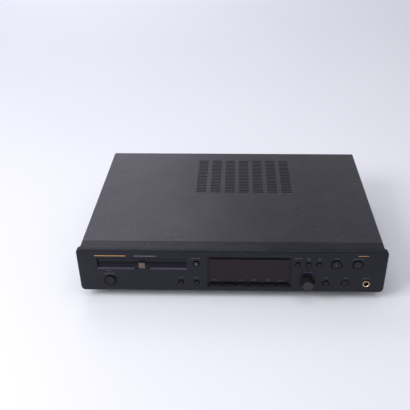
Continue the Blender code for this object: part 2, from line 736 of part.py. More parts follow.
def cut(target, solid):
    """Cut a solid out."""
    return shaped(target, solid, "DIFFERENCE")


# Gears
def involute_turn(base, radius):
    """Angle that the involute has turned through where it reaches a radius."""
    reach = math.sqrt(max((radius / base) ** 2 - 1.0, 0.0))
    return reach - math.atan(reach)


def gear_outline(teeth, turn):
    """Spur gear outline whose flanks are chords of the involute, with a tooth centred on the angle turn."""
    pitch = GEAR_MODULE * teeth / 2
    base = pitch * math.cos(math.radians(PRESSURE_ANGLE_DEG))
    tip = pitch + GEAR_MODULE - GEAR_TIP_GAP / 2
    root = pitch - GEAR_MODULE - GEAR_TIP_GAP / 2
    half_tooth = (math.pi * GEAR_MODULE / 2 - GEAR_BACKLASH) / 2 / pitch
    half_tooth += involute_turn(base, pitch)
    start = max(root, base)
    flank = [(root, half_tooth - involute_turn(base, start)), (tip, half_tooth - involute_turn(base, tip))]
    points = []
    for tooth in range(teeth):
        middle = turn + 2 * math.pi * tooth / teeth
        for side, rising in ((-1, flank), (1, flank[::-1])):
            for radius, half in rising:
                angle = middle + side * half
                points.append((radius * math.cos(angle), radius * math.sin(angle)))
    return points


def spur_gear(teeth, low, high, bore_radius, turn=0.0):
    """Spur gear about Z with a plain bore."""
    bore = circle_outline(0.0, 0.0, bore_radius, STEPS_SMALL)
    return prism(gear_outline(teeth, turn), "z", low, high, [bore])


def rack_outline(pitch_line, back, start, end, gear_place):
    """Rack along Y whose teeth point to +X and mesh with a gear at gear_place.

    A gear tooth points straight at the rack, so the rack has a gap there.
    """
    spacing = math.pi * GEAR_MODULE
    slope = math.tan(math.radians(PRESSURE_ANGLE_DEG))
    tip = pitch_line + GEAR_MODULE - GEAR_TIP_GAP / 2
    root = pitch_line - GEAR_MODULE - GEAR_TIP_GAP / 2
    half_pitch = (spacing / 2 - GEAR_BACKLASH) / 2
    half_tip = half_pitch - slope * (tip - pitch_line)
    half_root = half_pitch + slope * (pitch_line - root)
    points = [(back, end), (back, start)]
    first = math.ceil((start + half_root - gear_place) / spacing - 0.5)
    last = math.floor((end - half_root - gear_place) / spacing - 0.5)
    points.append((root, start))
    for index in range(first, last + 1):
        middle = gear_place + spacing * (index + 0.5)
        points += [(root, middle - half_root), (tip, middle - half_tip),
                   (tip, middle + half_tip), (root, middle + half_root)]
    points.append((root, end))
    return points


# Housing
def make_fascia():
    """Moulded front panel: rounded rim, stepped skirt, wells and openings."""
    half = FASCIA_WIDTH / 2
    stations = []
    for step in range(CORNER_STEPS + 1):
        angle = math.radians(90) * step / CORNER_STEPS
        inset = FASCIA_EDGE_ROUND * (1 - math.sin(angle))
        place = FASCIA_EDGE_ROUND * (1 - math.cos(angle))
        outline = rounded_outline(-half + inset, half - inset, inset, FASCIA_HEIGHT - inset,
                                  FASCIA_CORNER - inset, FASCIA_CORNER_STEPS)
        stations.append((outline, place))
    stations.append((stations[-1][0], RIM_DEPTH))
    at = (0.0, at_depth(0.0), FASCIA_BOTTOM)
    fascia = piece("front_fascia", lofted(stations, "y"), "fascia_plastic", at)

    skirt_half = COVER_WIDTH / 2
    skirt_top = FASCIA_HEIGHT - RIM_PROUD
    skirt = rounded_outline(-skirt_half, skirt_half, CHASSIS_RISE, skirt_top, SKIRT_CORNER)
    add(fascia, prism(skirt, "y", RIM_DEPTH - WELD, SKIRT_DEPTH))

    pocket_half = skirt_half - SKIRT_WALL
    pocket = rounded_outline(-pocket_half, pocket_half, RIM_FLOOR, skirt_top - SKIRT_WALL, POCKET_CORNER)
    cut(fascia, prism(pocket, "y", FASCIA_WALL, SKIRT_DEPTH + OVERRUN))
    cut(fascia, block(-pocket_half, pocket_half, BELLY_DEPTH, SKIRT_DEPTH + OVERRUN,
                      -OVERRUN, RIM_FLOOR + OVERRUN))
    cut(fascia, fascia_recesses())
    cut(fascia, fascia_openings())
    return fascia


def fascia_recesses():
    """Stepped ways through the face for the round controls, and the display's flat recess."""
    back = FASCIA_WALL + OVERRUN
    forms = []
    for _, place_x, row, cap_radius, rim, _ in ROUND_BUTTONS:
        outer = cap_radius + rim
        inner = cap_radius + RUN_GAP
        profile = [(0.0, -OVERRUN), (outer, -OVERRUN), (outer, RECESS_DEPTH), (inner, RECESS_DEPTH),
                   (inner, back), (0.0, back)]
        forms.append(turned(profile, round_steps(cap_radius), "y", (place_x, 0.0, row)))
    bush = LEVEL_BUSH_RADIUS + SEAT_GAP
    level = [(0.0, -OVERRUN), (LEVEL_DISH_RADIUS, -OVERRUN), (LEVEL_DISH_RADIUS, LEVEL_DISH_DEPTH),
             (bush, LEVEL_DISH_DEPTH), (bush, back), (0.0, back)]
    forms.append(turned(level, STEPS_MEDIUM, "y", (LEVEL_X, 0.0, ROW_LEVEL)))
    inner = PHONES_KNOB_RADIUS + RUN_GAP
    outer = inner + PHONES_DISH_RIM
    phones = [(0.0, -OVERRUN), (outer, -OVERRUN), (outer, RECESS_DEPTH), (inner, RECESS_DEPTH),
              (inner, back), (0.0, back)]
    forms.append(turned(phones, STEPS_SMALL, "y", (PHONES_LEVEL_X, 0.0, ROW_LOWER)))
    half = DISPLAY_RECESS_WIDTH / 2
    top = DISPLAY_RECESS_BOTTOM + DISPLAY_RECESS_HEIGHT
    recess = rounded_outline(DISPLAY_X - half, DISPLAY_X + half, DISPLAY_RECESS_BOTTOM, top, DISPLAY_CORNER)
    forms.append(prism(recess, "y", -OVERRUN, DISPLAY_RECESS_DEPTH))
    return gathered(*forms)


def fascia_openings():
    """Ways through the face for the headphone socket, the window, the keys and the tray."""
    through = (-OVERRUN, FASCIA_WALL + OVERRUN)
    forms = [rod(PHONES_BARREL_RADIUS + SEAT_GAP, "y", *through, (PHONES_X, ROW_LOWER), STEPS_SMALL)]

    left = WINDOW_LEFT
    right = left + WINDOW_WIDTH
    window_top = WINDOW_BOTTOM + WINDOW_HEIGHT
    forms.append(prism(rounded_outline(left, right, WINDOW_BOTTOM, window_top, DISPLAY_CORNER), "y", *through))
    key_top = KEY_BOTTOM + KEY_HEIGHT
    forms.append(prism(box_outline(left, right, KEY_BOTTOM, key_top), "y", *through))

    slot_half = TRAY_FRONT_WIDTH / 2 + SEAT_GAP
    slot_low = TRAY_SLOT_RISE
    slot_high = SLOT_TOP - FASCIA_BOTTOM
    notch_half = TRAY_NOTCH_WIDTH / 2
    notch_low = slot_low - TRAY_NOTCH_DROP
    slot = [(TRAY_X - slot_half, slot_low), (TRAY_X - notch_half, slot_low), (TRAY_X - notch_half, notch_low),
            (TRAY_X + notch_half, notch_low), (TRAY_X + notch_half, slot_low), (TRAY_X + slot_half, slot_low),
            (TRAY_X + slot_half, slot_high), (TRAY_X - slot_half, slot_high)]
    forms.append(prism(slot, "y", *through))
    return gathered(*forms)


def vent_outlines(middle_y):
    """Slots across the rear of the cover, in rows and columns."""
    slots = []
    first_x = VENT_CENTRE_X - VENT_PITCH_X * (VENT_COLUMNS - 1) / 2
    for column in range(VENT_COLUMNS):
        for row in range(VENT_ROWS):
            x = first_x + VENT_PITCH_X * column
            y = at_depth(VENT_FRONT_DEPTH + VENT_PITCH_Y * row) - middle_y
            slots.append(box_outline(x - VENT_LENGTH / 2, x + VENT_LENGTH / 2,
                                     y - VENT_WIDTH / 2, y + VENT_WIDTH / 2))
    return slots


def sheet(name, outline, holes, bends, thickness, look, at):
    """Bent sheet: a flat outline with holes, whose long edges are carried down or up.

    bends lists (side, path), where side picks the edges at that extreme of the
    outline and path gives the steps that the edge takes, one after another.
    """
    solid = bmesh.new()
    flat_face(solid, (outline, *holes), "z", 0.0)
    for pick, path in bends:
        edges = [edge for edge in solid.edges if all(pick(vert.co) for vert in edge.verts)]
        for step in path:
            grown = bmesh.ops.extrude_edge_only(solid, edges=edges)["geom"]
            bmesh.ops.translate(solid, vec=step, verts=[part for part in grown if isinstance(part, bmesh.types.BMVert)])
            edges = [part for part in grown if isinstance(part, bmesh.types.BMEdge)]
    bmesh.ops.recalc_face_normals(solid, faces=solid.faces[:])
    made = piece(name, solid, look, at)
    wall = made.modifiers.new("sheet_thickness", "SOLIDIFY")
    wall.thickness = thickness
    wall.offset = 0.0
    wall.use_even_offset = True
    return made


def bend_path(radius, side, direction, run):
    """Steps of an edge round a quarter bend and then straight on.

    side is -1 or 1 for the way that the bend leads out, direction -1 or 1 for
    down or up. The first bend point is the edge itself.
    """
    steps = []
    for step in range(CORNER_STEPS):
        near = math.radians(90) * step / CORNER_STEPS
        far = math.radians(90) * (step + 1) / CORNER_STEPS
        out = radius * (math.sin(far) - math.sin(near))
        over = radius * (math.cos(near) - math.cos(far))
        steps.append((side * out, 0.0, direction * over))
    steps.append((0.0, 0.0, direction * run))
    return steps


def make_cover():
    """U-shaped steel cover with ventilation slots near its back."""
    start = SKIRT_DEPTH + SEAT_GAP
    middle_y = at_depth((start + BODY_DEPTH) / 2)
    half_length = (BODY_DEPTH - start) / 2
    centre_width = COVER_WIDTH / 2 - COVER_SHEET / 2
    flat = centre_width - BEND_RADIUS
    drop = COVER_TOP - COVER_SHEET / 2 - BEND_RADIUS - CHASSIS_BOTTOM
    bends = [(lambda co: co.x < -flat + MERGE, bend_path(BEND_RADIUS, -1, -1, drop)),
             (lambda co: co.x > flat - MERGE, bend_path(BEND_RADIUS, 1, -1, drop))]
    outline = box_outline(-flat, flat, -half_length, half_length)
    at = (0.0, middle_y, COVER_TOP - COVER_SHEET / 2)
    return sheet("top_cover", outline, vent_outlines(middle_y), bends, COVER_SHEET, "cover_paint", at)


def boss_places():
    """Where the chassis carries the loader and the two boards, with each boss's height."""
    places = []
    for side in (-1, 1):
        for depth in loader_flange_depths():
            flange_x = TRAY_X + side * (LOADER_OUTER + LOADER_FLANGE_WIDTH / 2)
            places.append((flange_x, depth, LOADER_FOOT_RISE - SEAT_GAP))
    boards = ((MAIN_BOARD_LEFT, MAIN_BOARD_RIGHT, MAIN_BOARD_FRONT_DEPTH, MAIN_BOARD_BACK_DEPTH),
              (POWER_BOARD_LEFT, POWER_BOARD_RIGHT, POWER_BOARD_FRONT_DEPTH, POWER_BOARD_BACK_DEPTH))
    for left, right, front, back in boards:
        for x in (left + 2 * BOSS_RADIUS, right - 2 * BOSS_RADIUS):
            for share in (BOARD_FRONT_SHARE, BOARD_BACK_SHARE):
                places.append((x, front + (back - front) * share, BOARD_RISE - SEAT_GAP))
    return places


def loader_flange_depths():
    """Depths of the middles of the loader's fixing flanges."""
    front = LOADER_START_DEPTH + LOADER_FLANGE_INSET + LOADER_FLANGE_LENGTH / 2
    back = LOADER_END_DEPTH - LOADER_FLANGE_INSET - LOADER_FLANGE_LENGTH / 2
    return (front, back)


def make_chassis():
    """Steel floor with turned-up edges and pressed bosses."""
    half_width = COVER_WIDTH / 2 - COVER_SHEET - SEAT_GAP - CHASSIS_SHEET / 2
    end = BODY_DEPTH - REAR_PANEL_SETBACK
    middle = (CHASSIS_START_DEPTH + end) / 2
    half_length = (end - CHASSIS_START_DEPTH) / 2
    flat = half_width - BEND_RADIUS
    rise = CHASSIS_FLANGE_HEIGHT - BEND_RADIUS
    bends = [(lambda co: co.x < -flat + MERGE, bend_path(BEND_RADIUS, -1, 1, rise)),
             (lambda co: co.x > flat - MERGE, bend_path(BEND_RADIUS, 1, 1, rise))]
    tongue = flat - WELD
    shoulder = SKIRT_DEPTH + SEAT_GAP - middle
    outline = [(-tongue, -half_length), (tongue, -half_length), (tongue, shoulder), (flat, shoulder),
               (flat, half_length), (-flat, half_length), (-flat, shoulder), (-tongue, shoulder)]
    at = (0.0, at_depth(middle), CHASSIS_BOTTOM + CHASSIS_SHEET / 2)
    chassis = sheet("chassis_base", outline, [], bends, CHASSIS_SHEET, "steel", at)
    bosses = []
    for x, depth, height in boss_places():
        profile = [(0.0, 0.0), (BOSS_RADIUS + height / 4, 0.0), (BOSS_RADIUS, height), (0.0, height)]
        top_up = [(radius, along + CHASSIS_SHEET / 2 if along else along) for radius, along in profile]
        bosses.append(turned(top_up, STEPS_TINY, "z", (x, depth - middle, 0.0)))
    front = -half_length
    lip = block(-flat + BEND_RADIUS, flat - BEND_RADIUS, front, front + CHASSIS_SHEET, 0.0,
                CHASSIS_FRONT_FLANGE_HEIGHT)
    bosses.append(lip)
    return add(chassis, gathered(*bosses))


def make_rear_panel():
    """Steel back with cut-outs for the sockets and a flange under the cover."""
    half = COVER_WIDTH / 2 - COVER_SHEET - SEAT_GAP
    narrow = half - CHASSIS_SHEET - SEAT_GAP
    step = CHASSIS_BOTTOM + CHASSIS_SHEET / 2 + CHASSIS_FLANGE_HEIGHT + SEAT_GAP
    low = CHASSIS_TOP + SEAT_GAP
    high = COVER_TOP - COVER_SHEET - SEAT_GAP
    back = BODY_DEPTH - REAR_PANEL_SETBACK
    front = back - REAR_PANEL_SHEET
    holes = []
    for x, z in phono_places(LINE_SOCKETS_X, 2):
        holes.append(circle_outline(x, z, PHONO_COLLAR_RADIUS + SEAT_GAP, STEPS_SMALL))
    for x, z in phono_places(DIGITAL_SOCKETS_X, 1):
        holes.append(circle_outline(x, z, PHONO_COLLAR_RADIUS + SEAT_GAP, STEPS_SMALL))
    reach = OPTICAL_WIDTH / 2 + SEAT_GAP
    for x, z in optical_places():
        holes.append(box_outline(x - reach, x + reach, z - reach, z + reach))
    inlet_z = CHASSIS_TOP + INLET_RISE
    inlet_u = INLET_WIDTH / 2 + SEAT_GAP
    inlet_v = INLET_HEIGHT / 2 + SEAT_GAP
    holes.append(box_outline(INLET_X - inlet_u, INLET_X + inlet_u, inlet_z - inlet_v, inlet_z + inlet_v))
    at = (0.0, at_depth(0.0), 0.0)
    right = [(narrow - BEND_RADIUS, low), (narrow, low + BEND_RADIUS), (narrow, step), (half, step),
             (half, high - BEND_RADIUS), (half - BEND_RADIUS, high)]
    outline = right + [(-u, v) for u, v in reversed(right)]
    panel = piece("rear_panel", prism(outline, "y", front, back), "cover_paint", at)
    flange_top = high - SEAT_GAP
    add(panel, block(-half + OVERRUN, half - OVERRUN, front - REAR_PANEL_FLANGE, front + WELD,
                     flange_top - REAR_PANEL_SHEET, flange_top))
    cutters = [prism(hole, "y", front - OVERRUN, back + OVERRUN) for hole in holes]
    return cut(panel, gathered(*cutters))


# Rear sockets
def phono_places(middle_x, rows):
    """Centres of a block of phono sockets, two across."""
    low = CHASSIS_TOP + SOCKET_ROW_RISE
    return [(middle_x + side * PHONO_PITCH_X / 2, low + PHONO_PITCH_Z * row)
            for row in range(rows) for side in (-1, 1)]


def optical_places():
    """Centres of the two square optical sockets, above the digital phono pair."""
    low = CHASSIS_TOP + SOCKET_ROW_RISE
    return [(DIGITAL_SOCKETS_X + side * PHONO_PITCH_X / 2, low + PHONO_PITCH_Z) for side in (-1, 1)]


def phono_barrel(x, z, block_end):
    """Collar in the panel's hole and the barrel that the plug grips."""
    collar_end = BODY_DEPTH - REAR_PANEL_SETBACK + SEAT_GAP
    tip = BODY_DEPTH + SOCKET_PROUD
    profile = [(PHONO_BORE_RADIUS, block_end), (PHONO_COLLAR_RADIUS, block_end),
               (PHONO_COLLAR_RADIUS, collar_end), (PHONO_OUTER_RADIUS, collar_end),
               (PHONO_OUTER_RADIUS, tip), (PHONO_BORE_RADIUS, tip)]
    return turned(profile, STEPS_SMALL, "y", (x, 0.0, z))


def socket_block(name, middle_x, low_z, high_z, phonos):
    """Moulded block behind the rear panel with its barrels."""
    back = BODY_DEPTH - REAR_PANEL_SETBACK - REAR_PANEL_SHEET - SEAT_GAP
    front = back - SOCKET_BLOCK_DEPTH
    half = PHONO_PITCH_X / 2 + SOCKET_BLOCK_MARGIN
    body = block(middle_x - half, middle_x + half, front, back, low_z, high_z)
    made = piece(name, body, "button_plastic", (0.0, at_depth(0.0), 0.0))
    barrels = []
    for x, z in phonos:
        barrels.append(phono_barrel(x, z, back - SOCKET_BLOCK_DEPTH / 2))
    return add(made, gathered(*barrels))


def make_rear_sockets():
    """Line sockets in two rows, the digital block and the mains inlet."""
    base = BOARD_TOP + SEAT_GAP
    line = phono_places(LINE_SOCKETS_X, 2)
    top = line[-1][1] + SOCKET_BLOCK_MARGIN
    socket_block("line_sockets", LINE_SOCKETS_X, base, top, line)
    digital = socket_block("digital_sockets", DIGITAL_SOCKETS_X, base, top, phono_places(DIGITAL_SOCKETS_X, 1))
    back = BODY_DEPTH - REAR_PANEL_SETBACK - REAR_PANEL_SHEET - SEAT_GAP
    reach = OPTICAL_WIDTH / 2
    cups = []
    mouths = []
    for x, z in optical_places():
        cups.append(block(x - reach, x + reach, back - WELD, BODY_DEPTH, z - reach, z + reach))
        inner = reach - INLET_WALL
        mouths.append(block(x - inner, x + inner, BODY_DEPTH - OPTICAL_DEPTH, BODY_DEPTH + OVERRUN,
                            z - inner, z + inner))
    add(digital, gathered(*cups))
    cut(digital, gathered(*mouths))
    make_mains_inlet(back)


def make_mains_inlet(panel_front):
    """Two-pin appliance inlet: a walled recess with its pins."""
    z = CHASSIS_TOP + INLET_RISE
    front = panel_front - INLET_BODY_DEPTH
    tip = BODY_DEPTH - REAR_PANEL_SETBACK + SEAT_GAP
    u = INLET_WIDTH / 2
    v = INLET_HEIGHT / 2
    shell = prism(rounded_outline(-u, u, -v, v, INLET_FLANGE), "y", front, tip + WELD)
    inlet = piece("mains_inlet", shell, "button_plastic", (INLET_X, at_depth(0.0), z))
    rim_u = u + INLET_FLANGE
    rim_v = v + INLET_FLANGE
    add(inlet, prism(rounded_outline(-rim_u, rim_u, -rim_v, rim_v, INLET_FLANGE), "y", tip,
                     tip + REAR_PANEL_SHEET))
    floor = tip + REAR_PANEL_SHEET - INLET_CAVITY_DEPTH
    cavity = rounded_outline(-u + INLET_WALL, u - INLET_WALL, -v + INLET_WALL, v - INLET_WALL, INLET_FLANGE)
    cut(inlet, prism(cavity, "y", floor, tip + OVERRUN))
    pins = [rod(INLET_PIN_RADIUS, "y", floor - WELD, tip - WELD, (side * INLET_PIN_SPACING / 2, 0.0), STEPS_TINY)
            for side in (-1, 1)]
    return add(inlet, gathered(*pins))


# Controls on the front panel
ROUND_BUTTONS = (
    ("power_button", POWER_X, ROW_POWER, POWER_CAP_RADIUS, POWER_RECESS_RIM, POWER_TRAVEL),
    ("open_button", OPEN_X, ROW_UPPER, OPEN_CAP_RADIUS, RECESS_RIM, BUTTON_TRAVEL),
    ("function_button_left", LEFT_FUNCTION_X, ROW_LOWER, FUNCTION_CAP_RADIUS, RECESS_RIM, BUTTON_TRAVEL),
    ("function_button_right", RIGHT_FUNCTION_X, ROW_LOWER, FUNCTION_CAP_RADIUS, RECESS_RIM, BUTTON_TRAVEL),
    ("transport_button_1", TRANSPORT_X, ROW_UPPER, TRANSPORT_CAP_RADIUS, RECESS_RIM, BUTTON_TRAVEL),
    ("transport_button_2", TRANSPORT_X + TRANSPORT_PITCH, ROW_UPPER, TRANSPORT_CAP_RADIUS, RECESS_RIM,
     BUTTON_TRAVEL),
    ("transport_button_3", TRANSPORT_X + 2 * TRANSPORT_PITCH, ROW_UPPER, TRANSPORT_CAP_RADIUS, RECESS_RIM,
     BUTTON_TRAVEL),
    ("large_button_left", LARGE_LEFT_X, ROW_UPPER, LARGE_CAP_RADIUS, LARGE_RECESS_RIM, BUTTON_TRAVEL),
    ("large_button_right", LARGE_LEFT_X + LARGE_PITCH, ROW_UPPER, LARGE_CAP_RADIUS, LARGE_RECESS_RIM, BUTTON_TRAVEL),
    ("mode_button", MODE_X, ROW_LOWER, MODE_CAP_RADIUS, RECESS_RIM, BUTTON_TRAVEL),
)


def make_round_button(name, place_x, row, cap_radius, travel):
    """Crowned cap with a retaining flange behind the panel and a stem to its switch."""
    flange_front = FASCIA_WALL + SEAT_GAP
    flange_back = flange_front + BUTTON_FLANGE_THICKNESS
    stem_end = SWITCH_FACE_DEPTH - travel - SEAT_GAP
    crown = -BUTTON_PROUD
    profile = [(0.0, crown), (cap_radius * CROWN_SHARE, crown + BUTTON_CROWN * EDGE_SHARE),
               (cap_radius, crown + BUTTON_CROWN), (cap_radius, flange_front),
               (cap_radius + BUTTON_FLANGE, flange_front), (cap_radius + BUTTON_FLANGE, flange_back),
               (BUTTON_STEM_RADIUS, flange_back), (BUTTON_STEM_RADIUS, stem_end), (0.0, stem_end)]
    at = (place_x, at_depth(0.0), fascia_level(row))
    return piece(name, turned(profile, round_steps(cap_radius), "y"), "button_plastic", at)


def make_keys():
    """Six bar keys under the display, each with its own flange."""
    pitch = WINDOW_WIDTH / KEY_COUNT
    half = (pitch - KEY_GAP) / 2
    front = -KEY_PROUD
    low = SEAT_GAP
    high = KEY_HEIGHT - SEAT_GAP
    flange_front = FASCIA_WALL + SEAT_GAP
    flange_back = flange_front + KEY_FLANGE_THICKNESS
    middle = KEY_HEIGHT / 2
    stem_end = SWITCH_FACE_DEPTH - BUTTON_TRAVEL - SEAT_GAP
    for index in range(KEY_COUNT):
        loops = [(box_outline(-half + KEY_EDGE_ROUND, half - KEY_EDGE_ROUND, low + KEY_EDGE_ROUND,
                              high - KEY_EDGE_ROUND), front),
                 (box_outline(-half, half, low, high), front + KEY_EDGE_ROUND),
                 (box_outline(-half, half, low, high), flange_front + WELD)]
        x = WINDOW_LEFT + pitch * (index + 0.5)
        at = (x, at_depth(0.0), fascia_level(KEY_BOTTOM))
        key = piece(f"display_key_{index + 1}", lofted(loops, "y"), "button_plastic", at)
        add(key, block(-half, half, flange_front, flange_back, low - BUTTON_FLANGE, high + BUTTON_FLANGE / 2))
        add(key, rod(BUTTON_STEM_RADIUS, "y", flange_back - WELD, stem_end, (0.0, middle), STEPS_TINY))


def make_display():
    """Tinted window, stepped so that it seats behind the panel, and the display tube."""
    half = WINDOW_WIDTH / 2 - SEAT_GAP
    low = SEAT_GAP
    high = WINDOW_HEIGHT - SEAT_GAP
    front = DISPLAY_RECESS_DEPTH
    seat = FASCIA_WALL + SEAT_GAP
    plate = prism(rounded_outline(-half, half, low, high, DISPLAY_CORNER - SEAT_GAP), "y", front, seat + WELD)
    at = (DISPLAY_X, at_depth(0.0), fascia_level(WINDOW_BOTTOM))
    window = piece("display_window", plate, "window_plastic", at)
    wide = half + WINDOW_FLANGE
    key_room = WINDOW_BOTTOM - KEY_BOTTOM - KEY_HEIGHT
    foot = low + SEAT_GAP - key_room + BUTTON_FLANGE
    add(window, block(-wide, wide, seat, seat + WINDOW_THICKNESS, foot, high + WINDOW_FLANGE))

    tube_half = WINDOW_WIDTH / 2 - DISPLAY_TUBE_MARGIN
    tube_low = (WINDOW_HEIGHT - DISPLAY_TUBE_HEIGHT) / 2
    tube_back = FRONT_BOARD_DEPTH - SEAT_GAP
    tube = block(-tube_half, tube_half, tube_back - DISPLAY_TUBE_THICKNESS, tube_back,
                 tube_low, tube_low + DISPLAY_TUBE_HEIGHT)
    piece("display_tube", tube, "glass", at)


def make_level_knob():
    """Fluted knob with a pointer notch on a shaft that runs into its control."""
    front = -KNOB_PROUD
    seat = LEVEL_DISH_DEPTH - SEAT_GAP
    rings = []
    stations = ((LEVEL_KNOB_TIP_RADIUS - BUTTON_CROWN, front), (LEVEL_KNOB_TIP_RADIUS, front + BUTTON_CROWN),
                (LEVEL_KNOB_RADIUS, seat))
    for radius, place in stations:
        outline = []
        for step in range(2 * LEVEL_KNOB_FLUTES):
            angle = math.pi * step / LEVEL_KNOB_FLUTES
            reach = radius - LEVEL_FLUTE_DEPTH * (step % 2)
            outline.append((reach * math.cos(angle), reach * math.sin(angle)))
        rings.append((outline, place))
    at = (LEVEL_X, at_depth(0.0), fascia_level(ROW_LEVEL))
    knob = piece("level_knob", lofted(rings, "y"), "button_plastic", at)
    shaft_end = FRONT_BOARD_DEPTH - POT_DEPTH + POT_BORE_DEPTH - SEAT_GAP
    add(knob, rod(LEVEL_SHAFT_RADIUS, "y", seat - WELD, shaft_end, (0.0, 0.0), STEPS_SMALL))
    dish = [(0.0, front - OVERRUN), (LEVEL_KNOB_TIP_RADIUS * CROWN_SHARE, front - OVERRUN),
            (LEVEL_KNOB_TIP_RADIUS * CROWN_SHARE, front + MERGE), (0.0, front + KNOB_FACE_DISH)]
    cut(knob, turned(dish, STEPS_MEDIUM, "y"))
    half = POINTER_WIDTH / 2
    cut(knob, block(-half, half, front - OVERRUN, front + 2 * POINTER_DEPTH,
                    LEVEL_KNOB_TIP_RADIUS / 2, LEVEL_KNOB_RADIUS + OVERRUN))


def make_phones_knob():
    """Small plain knob with a pointer slot."""
    front = -PHONES_KNOB_PROUD
    flange_front = FASCIA_WALL + SEAT_GAP
    flange_back = flange_front + BUTTON_FLANGE_THICKNESS
    shaft_end = FRONT_BOARD_DEPTH - POT_DEPTH + POT_BORE_DEPTH - SEAT_GAP
    radius = PHONES_KNOB_RADIUS
    profile = [(0.0, front), (radius - BUTTON_CROWN, front), (radius, front + BUTTON_CROWN),
               (radius, flange_front), (radius + BUTTON_FLANGE, flange_front),
               (radius + BUTTON_FLANGE, flange_back), (PHONES_SHAFT_RADIUS, flange_back),
               (PHONES_SHAFT_RADIUS, shaft_end), (0.0, shaft_end)]
    at = (PHONES_LEVEL_X, at_depth(0.0), fascia_level(ROW_LOWER))
    knob = piece("phones_knob", turned(profile, STEPS_SMALL, "y"), "button_plastic", at)
    half = POINTER_WIDTH / 2
    cut(knob, block(-half, half, front - OVERRUN, front + 2 * POINTER_DEPTH, 0.0, radius + OVERRUN))


def make_phones_socket():
    """Headphone socket: plated ring, threaded barrel and moulded body, bored through."""
    seat = -SEAT_GAP
    body_front = FASCIA_WALL + SEAT_GAP
    ring = [(0.0, seat - PHONES_RING_PROUD), (PHONES_RING_RADIUS - BUTTON_CROWN, seat - PHONES_RING_PROUD),
            (PHONES_RING_RADIUS, seat - PHONES_RING_PROUD + BUTTON_CROWN), (PHONES_RING_RADIUS, seat),
            (PHONES_BARREL_RADIUS, seat), (PHONES_BARREL_RADIUS, body_front + WELD), (0.0, body_front + WELD)]
    at = (PHONES_X, at_depth(0.0), fascia_level(ROW_LOWER))
    socket = piece("headphone_socket", turned(ring, STEPS_SMALL, "y"), "socket_gold", at)
    half = PHONES_BODY_WIDTH / 2
    add(socket, block(-half, half, body_front, body_front + PHONES_BODY_DEPTH, -half, half))
    cut(socket, rod(PHONES_BORE_RADIUS, "y", -OVERRUN, body_front + PHONES_BODY_DEPTH - FASCIA_WALL,
                    (0.0, 0.0), STEPS_SMALL))


def make_front_board():
    """Upright board that carries the switches and the two rotary controls."""
    left = POWER_X - 2 * SWITCH_SIZE
    right = PHONES_X - PHONES_BODY_WIDTH / 2 - SEAT_GAP
    step_x = TRAY_X + LOADER_OUTER
    low = RIM_FLOOR + 2 * CHASSIS_SHEET
    step_z = TRAY_SLOT_RISE - OVERRUN
    high = FASCIA_HEIGHT - RIM_PROUD - SKIRT_WALL - OVERRUN / 2
    outline = [(left, low), (right, low), (right, high), (step_x, high), (step_x, step_z), (left, step_z)]
    back = FRONT_BOARD_DEPTH + BOARD_THICKNESS
    at = (0.0, at_depth(0.0), FASCIA_BOTTOM)
    board = piece("front_board", prism(outline, "y", FRONT_BOARD_DEPTH, back), "board", at)
    half = SWITCH_SIZE / 2
    parts = []
    for _, place_x, row, *_ in ROUND_BUTTONS:
        parts.append((place_x, row))
    pitch = WINDOW_WIDTH / KEY_COUNT
    for index in range(KEY_COUNT):
        parts.append((WINDOW_LEFT + pitch * (index + 0.5), KEY_BOTTOM + KEY_HEIGHT / 2))
    switches = [block(x - half, x + half, SWITCH_FACE_DEPTH, FRONT_BOARD_DEPTH + WELD, z - half, z + half)
                for x, z in parts]
    add(board, gathered(*switches))
    pots = []
    bores = []
    for x, z, shaft_radius in ((LEVEL_X, ROW_LEVEL, LEVEL_SHAFT_RADIUS),
                               (PHONES_LEVEL_X, ROW_LOWER, PHONES_SHAFT_RADIUS)):
        front = FRONT_BOARD_DEPTH - POT_DEPTH
        pots.append(block(x - POT_WIDTH / 2, x + POT_WIDTH / 2, front, FRONT_BOARD_DEPTH + WELD,
                          z - POT_HEIGHT / 2, z + POT_HEIGHT / 2))
        bores.append(rod(shaft_radius + SEAT_GAP, "y", front - OVERRUN, front + POT_BORE_DEPTH,
                         (x, z), STEPS_SMALL))
    add(board, gathered(*pots))
    cut(board, gathered(*bores))


# Disc tray and its drive
def rack_pitch_x():
    """X of the rack's pitch line, from the tray's middle."""
    return -RACK_OFFSET


def loading_gear_x():
    """X of the loading gear's axis, from the tray's middle."""
    return rack_pitch_x() + GEAR_MODULE * TRAY_PINION_TEETH / 2


def drive_pulley_x():
    """X of the driven pulley's axis, from the tray's middle."""
    return loading_gear_x() + GEAR_MODULE * (DRIVEN_WHEEL_TEETH + DRIVE_PINION_TEETH) / 2


